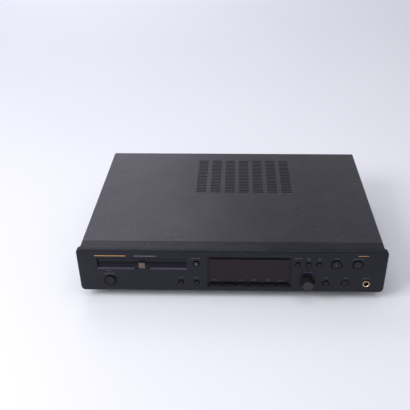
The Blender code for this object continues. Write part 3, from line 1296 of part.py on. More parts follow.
def make_tray(axis):
    """Drawer with wells for both disc sizes, a spindle slot and a rack below."""
    at = (TRAY_X, at_depth(0.0), TRAY_UNDERSIDE)
    start = TRAY_FRONT_SETBACK + TRAY_FRONT_THICKNESS + SEAT_GAP
    half = TRAY_WIDTH / 2
    outline = rounded_outline(-half, half, start, TRAY_END_DEPTH, TRAY_CORNER)
    squared = [(u, max(v, start)) for u, v in outline]
    tray = piece("disc_tray", prism(squared, "z", 0.0, TRAY_THICKNESS), "tray_plastic", at, axis)

    well = TRAY_THICKNESS - DISC_WELL_DEPTH
    small = well - SMALL_WELL_DEPTH
    middle = DISC_CENTRE_DEPTH
    profile = [(0.0, small), (SMALL_DISC_RADIUS + DISC_MARGIN, small), (SMALL_DISC_RADIUS + 2 * DISC_MARGIN, well),
               (DISC_RADIUS + DISC_MARGIN, well), (DISC_RADIUS + 2 * DISC_MARGIN, TRAY_THICKNESS + OVERRUN),
               (0.0, TRAY_THICKNESS + OVERRUN)]
    cut(tray, turned(profile, STEPS_LARGE, "z", (0.0, middle, 0.0)))
    slot_end = TRAY_END_DEPTH + OVERRUN
    slot = []
    for step in range(STEPS_SMALL + 1):
        angle = math.pi + math.pi * step / STEPS_SMALL
        slot.append((TRAY_SLOT_HALF_WIDTH * math.cos(angle), middle + TRAY_SLOT_HALF_WIDTH * math.sin(angle)))
    slot += [(TRAY_SLOT_HALF_WIDTH, slot_end), (-TRAY_SLOT_HALF_WIDTH, slot_end)]
    cut(tray, prism(slot, "z", -OVERRUN, TRAY_THICKNESS + OVERRUN))
    dips = [rod(FINGER_DIP_RADIUS, "z", well, TRAY_THICKNESS + OVERRUN, (side * DISC_RADIUS * DIP_SHARE, start),
                STEPS_MEDIUM) for side in (-1, 1)]
    cut(tray, gathered(*dips))

    rack_start = LOADING_GEAR_DEPTH - GEAR_MODULE * TRAY_PINION_TEETH / 2
    rack_end = LOADING_GEAR_DEPTH + TRAY_TRAVEL + 2 * math.pi * GEAR_MODULE
    back = rack_pitch_x() - RACK_BACK
    teeth = rack_outline(rack_pitch_x(), back, rack_start, rack_end, LOADING_GEAR_DEPTH)
    add(tray, prism(teeth, "z", -TRAY_UNDERSIDE_RISE + 2 * SEAT_GAP, WELD))
    return tray


def make_tray_front(axis):
    """Set-back front that closes the slot, with a sloped grip in the notch and a bare raised pad."""
    half = TRAY_FRONT_WIDTH / 2
    front = TRAY_FRONT_SETBACK
    back = front + TRAY_FRONT_THICKNESS
    at = (TRAY_X, at_depth(0.0), SLOT_BOTTOM + SEAT_GAP)
    plate = block(-half, half, front, back, 0.0, TRAY_FRONT_HEIGHT)
    panel = piece("tray_front", plate, "tray_plastic", at, axis)
    grip_half = TRAY_NOTCH_WIDTH / 2 - SEAT_GAP
    foot = SEAT_GAP - TRAY_NOTCH_DROP
    grip = [(SEAT_GAP, foot), (SEAT_GAP, SEAT_GAP), (front, TRAY_GRIP_HEIGHT), (front + WELD, TRAY_GRIP_HEIGHT),
            (front + WELD, foot)]
    add(panel, prism(grip, "x", -grip_half, grip_half))
    pad = TRAY_BADGE_WIDTH / 2
    return add(panel, block(-pad, pad, 0.0, front + WELD, foot + SEAT_GAP, foot + TRAY_BADGE_HEIGHT))


def make_loading_gear(axis, at):
    """Compound gear: the upper pinion drives the rack, the lower wheel is driven."""
    bore = GEAR_POST_RADIUS + SEAT_GAP
    top = TRAY_UNDERSIDE - RUN_GAP - at[2]
    pinion_low = top - TRAY_PINION_THICKNESS
    wheel_high = pinion_low - WELD
    wheel_low = wheel_high - DRIVEN_WHEEL_THICKNESS
    pinion = spur_gear(TRAY_PINION_TEETH, wheel_high - WELD, top, bore, math.pi)
    gear = piece("loading_gear", pinion, "gear_plastic", at, axis)
    turn = math.pi / DRIVEN_WHEEL_TEETH
    add(gear, spur_gear(DRIVEN_WHEEL_TEETH, wheel_low, wheel_high, bore, turn))
    hub = [(bore, 0.0), (2 * bore, 0.0), (2 * bore, wheel_low + WELD), (bore, wheel_low + WELD)]
    add(gear, turned(hub, STEPS_SMALL))
    return wheel_low, wheel_high


def make_drive_pulley(axis, at, wheel_low, wheel_high):
    """Grooved belt pulley with the small pinion on top."""
    bore = PULLEY_POST_RADIUS + SEAT_GAP
    groove = LARGE_PULLEY_RADIUS
    rim = groove + PULLEY_FLANGE
    edge = PULLEY_FLANGE_THICKNESS
    profile = [(bore, 0.0), (rim, 0.0), (rim, edge), (groove, edge), (groove, PULLEY_WIDTH - edge),
               (rim, PULLEY_WIDTH - edge), (rim, PULLEY_WIDTH), (bore, PULLEY_WIDTH)]
    pulley = piece("drive_pulley", turned(profile, STEPS_MEDIUM), "gear_plastic", at, axis)
    turn = math.pi
    add(pulley, spur_gear(DRIVE_PINION_TEETH, PULLEY_WIDTH - WELD, wheel_high + WELD, bore, turn))


def make_motor_pulley(axis, at):
    """Small pulley on its shaft, which runs down into the motor."""
    groove = SMALL_PULLEY_RADIUS
    rim = groove + PULLEY_FLANGE / 2
    edge = PULLEY_FLANGE_THICKNESS
    shaft = MOTOR_SHAFT_RADIUS
    low = -MOTOR_LENGTH / 2
    profile = [(0.0, low), (shaft, low), (shaft, 0.0), (rim, 0.0), (rim, edge), (groove, edge),
               (groove, PULLEY_WIDTH - edge), (rim, PULLEY_WIDTH - edge), (rim, PULLEY_WIDTH),
               (0.0, PULLEY_WIDTH)]
    piece("motor_pulley", turned(profile, STEPS_SMALL), "gear_plastic", at, axis)


def belt_outline(near, far, radius_near, radius_far, grow):
    """Loop round two circles that lie on one line along X, with straight runs."""
    lean = math.asin((radius_near - radius_far) / (far - near))
    points = []
    for step in range(STEPS_SMALL + 1):
        angle = math.radians(90) - lean + (math.pi + 2 * lean) * step / STEPS_SMALL
        points.append((near + (radius_near + grow) * math.cos(angle), (radius_near + grow) * math.sin(angle)))
    for step in range(STEPS_SMALL // 2 + 1):
        angle = math.radians(270) + lean + (math.pi - 2 * lean) * step / (STEPS_SMALL // 2)
        points.append((far + (radius_far + grow) * math.cos(angle), (radius_far + grow) * math.sin(angle)))
    return points


def make_belt(deck):
    """Square-section belt from the motor pulley to the driven pulley."""
    near = drive_pulley_x()
    radii = (LARGE_PULLEY_RADIUS, SMALL_PULLEY_RADIUS)
    outer = belt_outline(near, MOTOR_OFFSET, *radii, SEAT_GAP + BELT_THICKNESS)
    inner = belt_outline(near, MOTOR_OFFSET, *radii, SEAT_GAP)
    low = PULLEY_FLANGE_THICKNESS + SEAT_GAP
    high = PULLEY_WIDTH - PULLEY_FLANGE_THICKNESS - SEAT_GAP
    at = (TRAY_X, at_depth(LOADING_GEAR_DEPTH), deck)
    piece("drive_belt", prism(outer, "z", low, high, [inner]), "rubber", at)


def make_loader():
    """Moulded frame: walls with rails for the tray, decks, posts and pivot ears."""
    inner = LOADER_INNER
    outer = LOADER_OUTER
    ledge_top = TRAY_UNDERSIDE - SEAT_GAP
    ledge_low = ledge_top - LOADER_LEDGE_THICKNESS
    tab_low = LOADER_TOP - LOADER_TAB_THICKNESS
    right = [(inner, LOADER_DECK_TOP), (inner, ledge_low), (inner - LOADER_LEDGE, ledge_low),
             (inner - LOADER_LEDGE, ledge_top), (inner, ledge_top), (inner, tab_low),
             (inner - LOADER_TAB, tab_low), (inner - LOADER_TAB, LOADER_TOP), (outer, LOADER_TOP),
             (outer, LOADER_FOOT), (inner, LOADER_FOOT), (inner, LOADER_DECK_BOTTOM)]
    left = [(-u, v) for u, v in reversed(right)]
    outline = right + left
    at = (TRAY_X, at_depth(0.0), 0.0)
    section = prism(outline, "y", LOADER_START_DEPTH, LOADER_END_DEPTH)
    loader = piece("loader_frame", section, "loader_plastic", at)

    gaps = [block(-inner, inner, LOADER_FRONT_DECK_END, LOADER_REAR_DECK_START,
                  LOADER_DECK_BOTTOM - OVERRUN, LOADER_DECK_TOP + OVERRUN)]
    tab_gap_start = LOADER_START_DEPTH + LOADER_TAB_LENGTH
    tab_gap_end = LOADER_END_DEPTH - LOADER_TAB_LENGTH
    tab_reach = inner - LOADER_TAB - OVERRUN
    for side in (-1, 1):
        near, far = sorted((side * tab_reach, side * inner))
        gaps.append(block(near, far, tab_gap_start, tab_gap_end, tab_low - RUN_GAP, LOADER_TOP + OVERRUN))
    cut(loader, gathered(*gaps))
    window_low = LOADER_FOOT + LOADER_WINDOW_RISE
    window = rounded_outline(at_depth(LOADER_FRONT_DECK_END) - at[1], LOADER_REAR_DECK_START,
                             window_low, window_low + LOADER_WINDOW_HEIGHT, LOADER_WALL)
    cut(loader, prism(window, "x", -outer - OVERRUN, outer + OVERRUN))
    wall_back = LOADER_END_DEPTH - MERGE
    add(loader, block(-inner - WELD, inner + WELD, wall_back - LOADER_WALL, wall_back,
                      LOADER_DECK_TOP - WELD, LOADER_DECK_TOP + LOADER_REAR_WALL_HEIGHT))
    add(loader, loader_flanges())
    add(loader, loader_ears())
    add(loader, loader_posts())
    motor_hole = MOTOR_BOSS_RADIUS + SEAT_GAP
    cut(loader, rod(motor_hole, "z", LOADER_DECK_BOTTOM - OVERRUN, LOADER_DECK_TOP + OVERRUN,
                    (MOTOR_OFFSET, LOADING_GEAR_DEPTH), STEPS_SMALL))


def loader_flanges():
    """Four fixing flanges that stand on the chassis bosses."""
    flanges = []
    half = LOADER_FLANGE_LENGTH / 2
    low = LOADER_FOOT + MERGE
    for side in (-1, 1):
        for depth in loader_flange_depths():
            near, far = sorted((side * (LOADER_OUTER - WELD), side * (LOADER_OUTER + LOADER_FLANGE_WIDTH)))
            outline = box_outline(near, far, depth - half, depth + half)
            screw = side * (LOADER_OUTER + LOADER_FLANGE_WIDTH / 2)
            hole = circle_outline(screw, depth, LOADER_SCREW_RADIUS, STEPS_TINY)
            flanges.append(prism(outline, "z", low, low + LOADER_FLANGE_THICKNESS, [hole]))
    return gathered(*flanges)


def loader_ears():
    """Two ears that carry the traverse unit's pivot pins."""
    ears = []
    start = TRAVERSE_PIVOT_DEPTH - TRAVERSE_PIN_RADIUS - TRAVERSE_EAR_RIM
    end = LOADER_REAR_DECK_START + 2 * LOADER_WALL
    high = TRAVERSE_PIVOT_Z + TRAVERSE_PIN_RADIUS + TRAVERSE_EAR_RIM
    outline = box_outline(start, end, LOADER_DECK_BOTTOM + MERGE, high)
    hole = circle_outline(TRAVERSE_PIVOT_DEPTH, TRAVERSE_PIVOT_Z, TRAVERSE_PIN_RADIUS + SEAT_GAP, STEPS_SMALL)
    near = TRAVERSE_HALF_WIDTH + RUN_GAP
    for side in (-1, 1):
        low, high_x = sorted((side * near, side * (near + TRAVERSE_EAR_THICKNESS)))
        ears.append(prism(outline, "x", low, high_x, [hole]))
    return gathered(*ears)


def loader_posts():
    """Posts that the loading gear and the driven pulley turn on."""
    gear_top = TRAY_UNDERSIDE - RUN_GAP
    pulley_top = gear_top - TRAY_PINION_THICKNESS
    low = LOADER_DECK_TOP - WELD
    return gathered(
        rod(GEAR_POST_RADIUS, "z", low, gear_top, (loading_gear_x(), LOADING_GEAR_DEPTH), STEPS_SMALL),
        rod(PULLEY_POST_RADIUS, "z", low, pulley_top, (drive_pulley_x(), LOADING_GEAR_DEPTH), STEPS_SMALL))


def make_loading_motor():
    """Small can motor that hangs under the front deck."""
    top = LOADER_DECK_BOTTOM - SEAT_GAP
    low = top - MOTOR_LENGTH
    boss_top = LOADER_DECK_TOP - SEAT_GAP
    bore = MOTOR_SHAFT_RADIUS + SEAT_GAP
    bore_low = LOADER_DECK_TOP + SEAT_GAP - MOTOR_LENGTH / 2 - SEAT_GAP
    profile = [(0.0, low), (MOTOR_RADIUS - BUTTON_CROWN, low), (MOTOR_RADIUS, low + BUTTON_CROWN),
               (MOTOR_RADIUS, top), (MOTOR_BOSS_RADIUS, top), (MOTOR_BOSS_RADIUS, boss_top),
               (bore, boss_top), (bore, bore_low), (0.0, bore_low)]
    at = (TRAY_X + MOTOR_OFFSET, at_depth(LOADING_GEAR_DEPTH), 0.0)
    piece("loading_motor", turned(profile, STEPS_MEDIUM), "steel", at)


# Traverse unit
def make_traverse(axis):
    """Ribbed plate with the sled's opening, rod holders and pivot pins."""
    pivot = (TRAY_X, at_depth(TRAVERSE_PIVOT_DEPTH), TRAVERSE_PIVOT_Z)

    def local(depth):
        return depth - TRAVERSE_PIVOT_DEPTH

    half = TRAVERSE_HALF_WIDTH
    low = TRAVERSE_BOTTOM - TRAVERSE_PIVOT_Z
    high = TRAVERSE_TOP - TRAVERSE_PIVOT_Z
    outline = rounded_outline(-half, half, local(TRAVERSE_START_DEPTH), local(TRAVERSE_END_DEPTH), OVERRUN)
    opening = rounded_outline(-SLED_OPENING_HALF_WIDTH, SLED_OPENING_HALF_WIDTH, local(SLED_OPENING_START),
                              local(SLED_OPENING_END), SLED_CORNER)
    hub = circle_outline(0.0, local(DISC_CENTRE_DEPTH), TURNTABLE_HUB_RADIUS + RUN_GAP, STEPS_MEDIUM)
    frame = piece("traverse_frame", prism(outline, "z", low, high, [opening, hub]), "loader_plastic", pivot, axis)
    holders = []
    holder_high = low + WELD
    holder_low = low - ROD_HOLDER_HEIGHT
    rod_z = rod_level() - TRAVERSE_PIVOT_Z
    wide = ROD_HOLDER_WIDTH / 2
    for side in (-1, 1):
        x = side * GUIDE_ROD_OFFSET
        for depth in rod_holder_depths():
            holes = [circle_outline(x, rod_z, GUIDE_ROD_RADIUS + SEAT_GAP, STEPS_TINY)]
            outline = box_outline(x - wide, x + wide, holder_low, holder_high)
            if side > 0:
                holes.append(circle_outline(SCREW_OFFSET, rod_z - SCREW_DROP, SCREW_RADIUS + SEAT_GAP, STEPS_TINY))
                outline = box_outline(x - wide, SCREW_OFFSET + SCREW_REACH, holder_low - SCREW_DROP, holder_high)
            holders.append(prism(outline, "y", local(depth), local(depth) + ROD_HOLDER_LENGTH, holes))
    add(frame, gathered(*holders))
    pins = []
    for side in (-1, 1):
        near, far = sorted((side * (half - WELD), side * (half + TRAVERSE_PIN_LENGTH)))
        pins.append(rod(TRAVERSE_PIN_RADIUS, "x", near, far, (0.0, 0.0), STEPS_SMALL))
    add(frame, gathered(*pins))
    ribs = []
    for side in (-1, 1):
        near, far = sorted((side * (half - WELD), side * (half - WELD - TRAVERSE_RIB_THICKNESS)))
        ribs.append(block(near, far, local(TRAVERSE_START_DEPTH) + OVERRUN, local(TRAVERSE_END_DEPTH) - OVERRUN,
                          low - TRAVERSE_RIB_HEIGHT, low + WELD))
    add(frame, gathered(*ribs))


def rod_level():
    """Height of the guide rods' axes."""
    return TRAVERSE_BOTTOM - ROD_HOLDER_HEIGHT / 2


def rod_holder_depths():
    """Depths where the front and rear rod holders start."""
    return (SLED_OPENING_START - 2 * ROD_HOLDER_LENGTH, TRAVERSE_END_DEPTH - ROD_HOLDER_LENGTH - WELD)


def make_guide_rods(axis):
    """Two steel rods that the sled runs on."""
    front, back = rod_holder_depths()
    length = back + ROD_HOLDER_LENGTH - front
    for side, name in ((-1, "guide_rod_left"), (1, "guide_rod_right")):
        at = (TRAY_X + side * GUIDE_ROD_OFFSET, at_depth(front), rod_level())
        piece(name, rod(GUIDE_ROD_RADIUS, "y", 0.0, length, (0.0, 0.0), STEPS_TINY), "steel", at, axis)


def make_sled(axis):
    """Laser sled with ears round the rods, the lens holder and the lens."""
    at = (TRAY_X, at_depth(SLED_START_DEPTH), rod_level())
    deck = TRAVERSE_TOP - at[2]
    half = SLED_HALF_WIDTH
    body = block(-half, half, 0.0, SLED_LENGTH, deck - SLED_HEIGHT, deck + TRAVERSE_THICKNESS / 2)
    sled = piece("laser_sled", body, "aluminium", at, axis)
    ears = []
    reach = GUIDE_ROD_OFFSET + ROD_HOLDER_WIDTH / 2
    for side in (-1, 1):
        near, far = sorted((side * (half - WELD), side * reach))
        holes = [circle_outline(side * GUIDE_ROD_OFFSET, 0.0, GUIDE_ROD_RADIUS + SEAT_GAP, STEPS_TINY)]
        low = -SLED_EAR_HEIGHT / 2
        if side > 0:
            far = SCREW_OFFSET + SCREW_REACH
            low -= SCREW_DROP
            holes.append(circle_outline(SCREW_OFFSET, -SCREW_DROP, SCREW_RADIUS + SEAT_GAP, STEPS_TINY))
        ears.append(prism(box_outline(near, far, low, SLED_EAR_HEIGHT / 2), "y",
                          BUTTON_CROWN, SLED_LENGTH - BUTTON_CROWN, holes))
    add(sled, gathered(*ears))
    lens_y = DISC_CENTRE_DEPTH + LENS_INNER_RADIUS - SLED_START_DEPTH
    lens_top = DISC_SEAT - LENS_DISC_GAP - at[2]
    holder_top = lens_top - LENS_RIM / 2
    half_width = LENS_HOLDER_WIDTH / 2
    half_length = LENS_HOLDER_LENGTH / 2
    holder = rounded_outline(-half_width, half_width, lens_y - half_length, lens_y + half_length, LENS_RIM)
    add(sled, prism(holder, "z", deck, holder_top))
    seat = LENS_RADIUS + SEAT_GAP
    cut(sled, rod(seat, "z", holder_top - LENS_RIM, holder_top + OVERRUN, (0.0, lens_y), STEPS_SMALL))
    lens = [(0.0, holder_top - LENS_RIM + SEAT_GAP), (LENS_RADIUS, holder_top - LENS_RIM + SEAT_GAP),
            (LENS_RADIUS, holder_top), (LENS_RADIUS * CROWN_SHARE, lens_top - LENS_RIM / 4), (0.0, lens_top)]
    piece("objective_lens", turned(lens, STEPS_SMALL, "z", (0.0, lens_y, 0.0)), "glass", at, axis)


def make_sled_drive(traverse_axis, screw_axis):
    """Small motor at the front of the traverse unit and the screw that moves the sled."""
    front, back = rod_holder_depths()
    at = (TRAY_X + SCREW_OFFSET, at_depth(front), rod_level() - SCREW_DROP)
    boss = -SEAT_GAP
    face = boss - SLED_MOTOR_BOSS_LENGTH
    end = face - SLED_MOTOR_LENGTH
    bore = SCREW_RADIUS + SEAT_GAP
    inside_end = face - SLED_MOTOR_LENGTH / 2
    can = [(0.0, end), (SLED_MOTOR_RADIUS - BUTTON_CROWN, end), (SLED_MOTOR_RADIUS, end + BUTTON_CROWN),
           (SLED_MOTOR_RADIUS, face), (SLED_MOTOR_BOSS_RADIUS, face), (SLED_MOTOR_BOSS_RADIUS, boss),
           (bore, boss), (bore, inside_end), (0.0, inside_end)]
    piece("sled_motor", turned(can, STEPS_SMALL, "y"), "steel", at, traverse_axis)
    length = back + ROD_HOLDER_LENGTH - front
    screw = rod(SCREW_RADIUS, "y", inside_end + SEAT_GAP, length, (0.0, 0.0), STEPS_TINY)
    piece("sled_screw", screw, "steel", at, screw_axis)


def make_spindle(traverse_axis, turntable_axis):
    """Spindle motor under the plate and the turntable that its shaft carries."""
    place = (TRAY_X, at_depth(DISC_CENTRE_DEPTH), 0.0)
    top = TRAVERSE_BOTTOM - SEAT_GAP
    low = top - SPINDLE_MOTOR_HEIGHT
    bore = SPINDLE_SHAFT_RADIUS + SEAT_GAP
    bore_low = low + SPINDLE_MOTOR_HEIGHT / 2
    motor = [(0.0, low), (SPINDLE_MOTOR_RADIUS, low), (SPINDLE_MOTOR_RADIUS, top), (bore, top),
             (bore, bore_low), (0.0, bore_low)]
    piece("spindle_motor", turned(motor, STEPS_MEDIUM), "steel", place, traverse_axis)
    shaft = SPINDLE_SHAFT_RADIUS
    shaft_low = bore_low + SEAT_GAP
    hub_low = TRAVERSE_TOP - TRAVERSE_THICKNESS + SEAT_GAP
    plate_low = DISC_SEAT - TURNTABLE_THICKNESS
    boss_top = DISC_SEAT + TURNTABLE_BOSS_HEIGHT
    table = [(0.0, shaft_low), (shaft, shaft_low), (shaft, hub_low), (TURNTABLE_HUB_RADIUS, hub_low),
             (TURNTABLE_HUB_RADIUS, plate_low), (TURNTABLE_RADIUS, plate_low), (TURNTABLE_RADIUS, DISC_SEAT),
             (TURNTABLE_BOSS_RADIUS, DISC_SEAT), (TURNTABLE_BOSS_RADIUS * CROWN_SHARE, boss_top), (0.0, boss_top)]
    piece("turntable", turned(table, STEPS_MEDIUM), "tray_plastic", place, turntable_axis)


def make_clamp(axis):
    """Bridge across the loader and the free puck that presses the disc down."""
    under = LOADER_TOP + SEAT_GAP
    middle_z = under + CLAMP_BRIDGE_SHEET / 2
    half_length = CLAMP_BRIDGE_LENGTH / 2
    radius = CLAMP_BEND_RADIUS
    flat = LOADER_OUTER + SEAT_GAP + CLAMP_BRIDGE_SHEET / 2 - radius
    bends = [(lambda co: co.x < -flat + MERGE, bend_path(radius, -1, -1, CLAMP_BRIDGE_LEG)),
             (lambda co: co.x > flat - MERGE, bend_path(radius, 1, -1, CLAMP_BRIDGE_LEG))]
    hole = circle_outline(0.0, 0.0, CLAMP_HOLE_RADIUS, STEPS_MEDIUM)
    at = (TRAY_X, at_depth(DISC_CENTRE_DEPTH), middle_z)
    sheet("clamp_bridge", box_outline(-flat, flat, -half_length, half_length), [hole], bends,
          CLAMP_BRIDGE_SHEET, "steel", at)

    low = DISC_SEAT + DISC_THICKNESS + PUCK_DISC_GAP
    flange_top = low + PUCK_FLANGE_THICKNESS
    cap_low = under + CLAMP_BRIDGE_SHEET + SEAT_GAP
    cap_high = cap_low + PUCK_CAP_THICKNESS
    ceiling = DISC_SEAT + TURNTABLE_BOSS_HEIGHT + PUCK_DISC_GAP
    profile = [(0.0, cap_high), (PUCK_CAP_RADIUS, cap_high), (PUCK_CAP_RADIUS, cap_low),
               (PUCK_HUB_RADIUS, cap_low), (PUCK_HUB_RADIUS, flange_top), (PUCK_RADIUS, flange_top),
               (PUCK_RADIUS, low), (PUCK_RECESS_RADIUS, low), (PUCK_RECESS_RADIUS, ceiling), (0.0, ceiling)]
    place = (TRAY_X, at_depth(DISC_CENTRE_DEPTH), 0.0)
    piece("clamp_puck", turned(profile, STEPS_MEDIUM), "gear_plastic", place, axis)


# Electronics
def make_main_board():
    """Main board with its larger components and the sockets' footprint."""
    middle = (MAIN_BOARD_LEFT + MAIN_BOARD_RIGHT) / 2
    half = (MAIN_BOARD_RIGHT - MAIN_BOARD_LEFT) / 2
    at = (middle, at_depth(MAIN_BOARD_FRONT_DEPTH), BOARD_BOTTOM)
    length = MAIN_BOARD_BACK_DEPTH - MAIN_BOARD_FRONT_DEPTH
    board = piece("main_board", block(-half, half, 0.0, length, 0.0, BOARD_THICKNESS), "board", at)
    chips = []
    for across, along, wide, long_ in CHIP_SHARES:
        x = half * across
        y = length * along
        chips.append(block(x - half * wide, x + half * wide, y - length * long_, y + length * long_,
                           BOARD_THICKNESS - WELD, BOARD_THICKNESS + CHIP_THICKNESS))
    add(board, gathered(*chips))


def make_power_supply():
    """Transformer on the floor, power board, heat sink and capacitors."""
    middle = (POWER_BOARD_LEFT + POWER_BOARD_RIGHT) / 2
    half = (POWER_BOARD_RIGHT - POWER_BOARD_LEFT) / 2
    length = POWER_BOARD_LENGTH
    at = (middle, at_depth(POWER_BOARD_FRONT_DEPTH), BOARD_BOTTOM)
    piece("power_board", block(-half, half, 0.0, length, 0.0, BOARD_THICKNESS), "board", at)

    fin_pitch = (HEAT_SINK_WIDTH - HEAT_SINK_FIN) / (HEAT_SINK_FINS - 1)
    base = 2 * HEAT_SINK_FIN
    comb = [(0.0, 0.0), (HEAT_SINK_WIDTH, 0.0)]
    for index in reversed(range(HEAT_SINK_FINS)):
        left = fin_pitch * index
        comb += [(left + HEAT_SINK_FIN, base), (left + HEAT_SINK_FIN, HEAT_SINK_DEPTH),
                 (left, HEAT_SINK_DEPTH), (left, base)]
    comb = [point for point in comb if point not in ((HEAT_SINK_WIDTH, base), (0.0, base))]
    sink_at = (POWER_BOARD_RIGHT - HEAT_SINK_WIDTH - OVERRUN,
               at_depth(POWER_BOARD_FRONT_DEPTH + length / 2), BOARD_TOP + SEAT_GAP)
    piece("heat_sink", prism(comb, "z", 0.0, HEAT_SINK_HEIGHT), "aluminium", sink_at)

    can = [(0.0, 0.0), (CAPACITOR_RADIUS, 0.0), (CAPACITOR_RADIUS, CAPACITOR_HEIGHT - BUTTON_CROWN),
           (CAPACITOR_RADIUS - BUTTON_CROWN, CAPACITOR_HEIGHT), (0.0, CAPACITOR_HEIGHT)]
    for index in range(2):
        place = (middle - CAPACITOR_RADIUS + index * 3 * CAPACITOR_RADIUS,
                 at_depth(POWER_BOARD_FRONT_DEPTH + 2 * CAPACITOR_RADIUS), BOARD_TOP + SEAT_GAP)
        piece(f"capacitor_{index + 1}", turned(can, STEPS_SMALL), "capacitor_sleeve", place)
    make_transformer()


def make_transformer():
    """Laminated core with two windows and the coil round its middle limb."""
    half = TRANSFORMER_WIDTH / 2
    limb = TRANSFORMER_LIMB / 2
    outer = TRANSFORMER_LIMB / 2
    low = outer
    high = TRANSFORMER_HEIGHT - outer
    windows = [box_outline(-half + outer, -limb, low, high), box_outline(limb, half - outer, low, high)]
    back = TRANSFORMER_LENGTH / 2
    core_half = back - COIL_WALL
    at = (TRANSFORMER_X, at_depth(TRANSFORMER_DEPTH), CHASSIS_TOP + SEAT_GAP)
    core = prism(box_outline(-half, half, 0.0, TRANSFORMER_HEIGHT), "y", -core_half, core_half, windows)
    piece("transformer_core", core, "steel", at)
    gap = SEAT_GAP
    coil_outer = half - outer - gap
    outline = rounded_outline(-coil_outer, coil_outer, -back, back, OVERRUN)
    hole = box_outline(-limb - gap, limb + gap, -core_half - gap, core_half + gap)
    piece("transformer_coil", prism(outline, "z", low + gap, high - gap, [hole]), "copper", at)


def make_feet():
    """Four moulded feet that share one turned form."""
    top = CHASSIS_BOTTOM - SEAT_GAP
    profile = [(0.0, 0.0), (FOOT_PAD_RADIUS, 0.0), (FOOT_PAD_RADIUS, FOOT_PAD_HEIGHT),
               (FOOT_RADIUS - FOOT_ROUND, FOOT_PAD_HEIGHT), (FOOT_RADIUS, FOOT_PAD_HEIGHT + FOOT_ROUND),
               (FOOT_TOP_RADIUS, top), (0.0, top)]
    shared = None
    for depth, end in ((FOOT_FRONT_DEPTH, "front"), (FOOT_REAR_DEPTH, "rear")):
        for side, hand in ((-1, "left"), (1, "right")):
            at = (side * FOOT_X, at_depth(depth), 0.0)
            foot = piece(f"foot_{end}_{hand}", turned(profile, STEPS_MEDIUM), "rubber", at)
            if shared:
                foot.data = shared
            shared = foot.data


def build():
    """Make every piece, with the moving ones carried by empties on their axes."""
    clear_scene()
    make_fascia()
    make_cover()
    make_chassis()
    make_rear_panel()
    make_rear_sockets()
    for name, place_x, row, cap_radius, _, travel in ROUND_BUTTONS:
        make_round_button(name, place_x, row, cap_radius, travel)
    make_keys()
    make_display()
    make_level_knob()
    make_phones_knob()
    make_phones_socket()
    make_front_board()

    tray_axis = joint_axis("tray_slide_axis", (TRAY_X, at_depth(0.0), TRAY_UNDERSIDE))
    make_tray(tray_axis)
    make_tray_front(tray_axis)

    make_loader()
    make_loading_motor()
    deck = LOADER_DECK_TOP + SEAT_GAP
    drive_y = at_depth(LOADING_GEAR_DEPTH)
    gear_at = (TRAY_X + loading_gear_x(), drive_y, deck)
    wheel_low, wheel_high = make_loading_gear(joint_axis("loading_gear_axis", gear_at), gear_at)
    pulley_at = (TRAY_X + drive_pulley_x(), drive_y, deck)
    make_drive_pulley(joint_axis("drive_pulley_axis", pulley_at), pulley_at, wheel_low, wheel_high)
    motor_at = (TRAY_X + MOTOR_OFFSET, drive_y, deck)
    make_motor_pulley(joint_axis("motor_pulley_axis", motor_at), motor_at)
    make_belt(deck)

    traverse_axis = joint_axis("traverse_axis", (TRAY_X, at_depth(TRAVERSE_PIVOT_DEPTH), TRAVERSE_PIVOT_Z))
    make_traverse(traverse_axis)
    make_guide_rods(traverse_axis)
    make_sled(joint_axis("sled_axis", (TRAY_X, at_depth(SLED_START_DEPTH), rod_level())))
    screw_at = (TRAY_X + SCREW_OFFSET, at_depth(SLED_START_DEPTH), rod_level() - SCREW_DROP)
    make_sled_drive(traverse_axis, joint_axis("sled_screw_axis", screw_at))
    turntable_axis = joint_axis("turntable_axis", (TRAY_X, at_depth(DISC_CENTRE_DEPTH), DISC_SEAT))
    make_spindle(traverse_axis, turntable_axis)
    puck_axis = joint_axis("puck_axis", (TRAY_X, at_depth(DISC_CENTRE_DEPTH), LOADER_TOP))
    make_clamp(puck_axis)

    make_main_board()
    make_power_supply()
    make_feet()


build()
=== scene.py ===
import json
import math
import bmesh
import bpy
import numpy as np
from mathutils import Matrix, Vector

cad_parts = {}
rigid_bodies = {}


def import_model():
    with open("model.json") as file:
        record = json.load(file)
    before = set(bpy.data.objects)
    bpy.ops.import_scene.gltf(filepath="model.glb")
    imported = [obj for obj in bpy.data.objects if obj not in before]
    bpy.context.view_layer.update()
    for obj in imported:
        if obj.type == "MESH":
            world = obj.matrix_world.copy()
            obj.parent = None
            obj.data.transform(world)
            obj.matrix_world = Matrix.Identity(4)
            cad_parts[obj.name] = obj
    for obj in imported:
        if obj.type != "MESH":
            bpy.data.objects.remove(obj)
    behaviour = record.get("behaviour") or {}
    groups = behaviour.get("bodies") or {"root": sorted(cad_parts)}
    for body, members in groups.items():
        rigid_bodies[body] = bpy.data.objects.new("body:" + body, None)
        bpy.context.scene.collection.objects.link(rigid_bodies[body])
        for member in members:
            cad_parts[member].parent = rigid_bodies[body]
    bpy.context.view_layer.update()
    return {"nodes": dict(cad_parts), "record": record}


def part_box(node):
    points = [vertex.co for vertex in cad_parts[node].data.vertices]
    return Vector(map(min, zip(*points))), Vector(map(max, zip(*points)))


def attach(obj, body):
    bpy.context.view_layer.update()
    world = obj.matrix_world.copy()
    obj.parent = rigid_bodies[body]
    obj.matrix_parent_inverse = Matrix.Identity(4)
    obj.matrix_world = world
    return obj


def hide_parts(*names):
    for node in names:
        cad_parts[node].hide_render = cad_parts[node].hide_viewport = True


for leftover in list(bpy.data.objects):
    bpy.data.objects.remove(leftover)
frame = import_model()
SLOT_OF = {name: node.data.materials[0].name.split(".")[0] for name, node in frame["nodes"].items()}

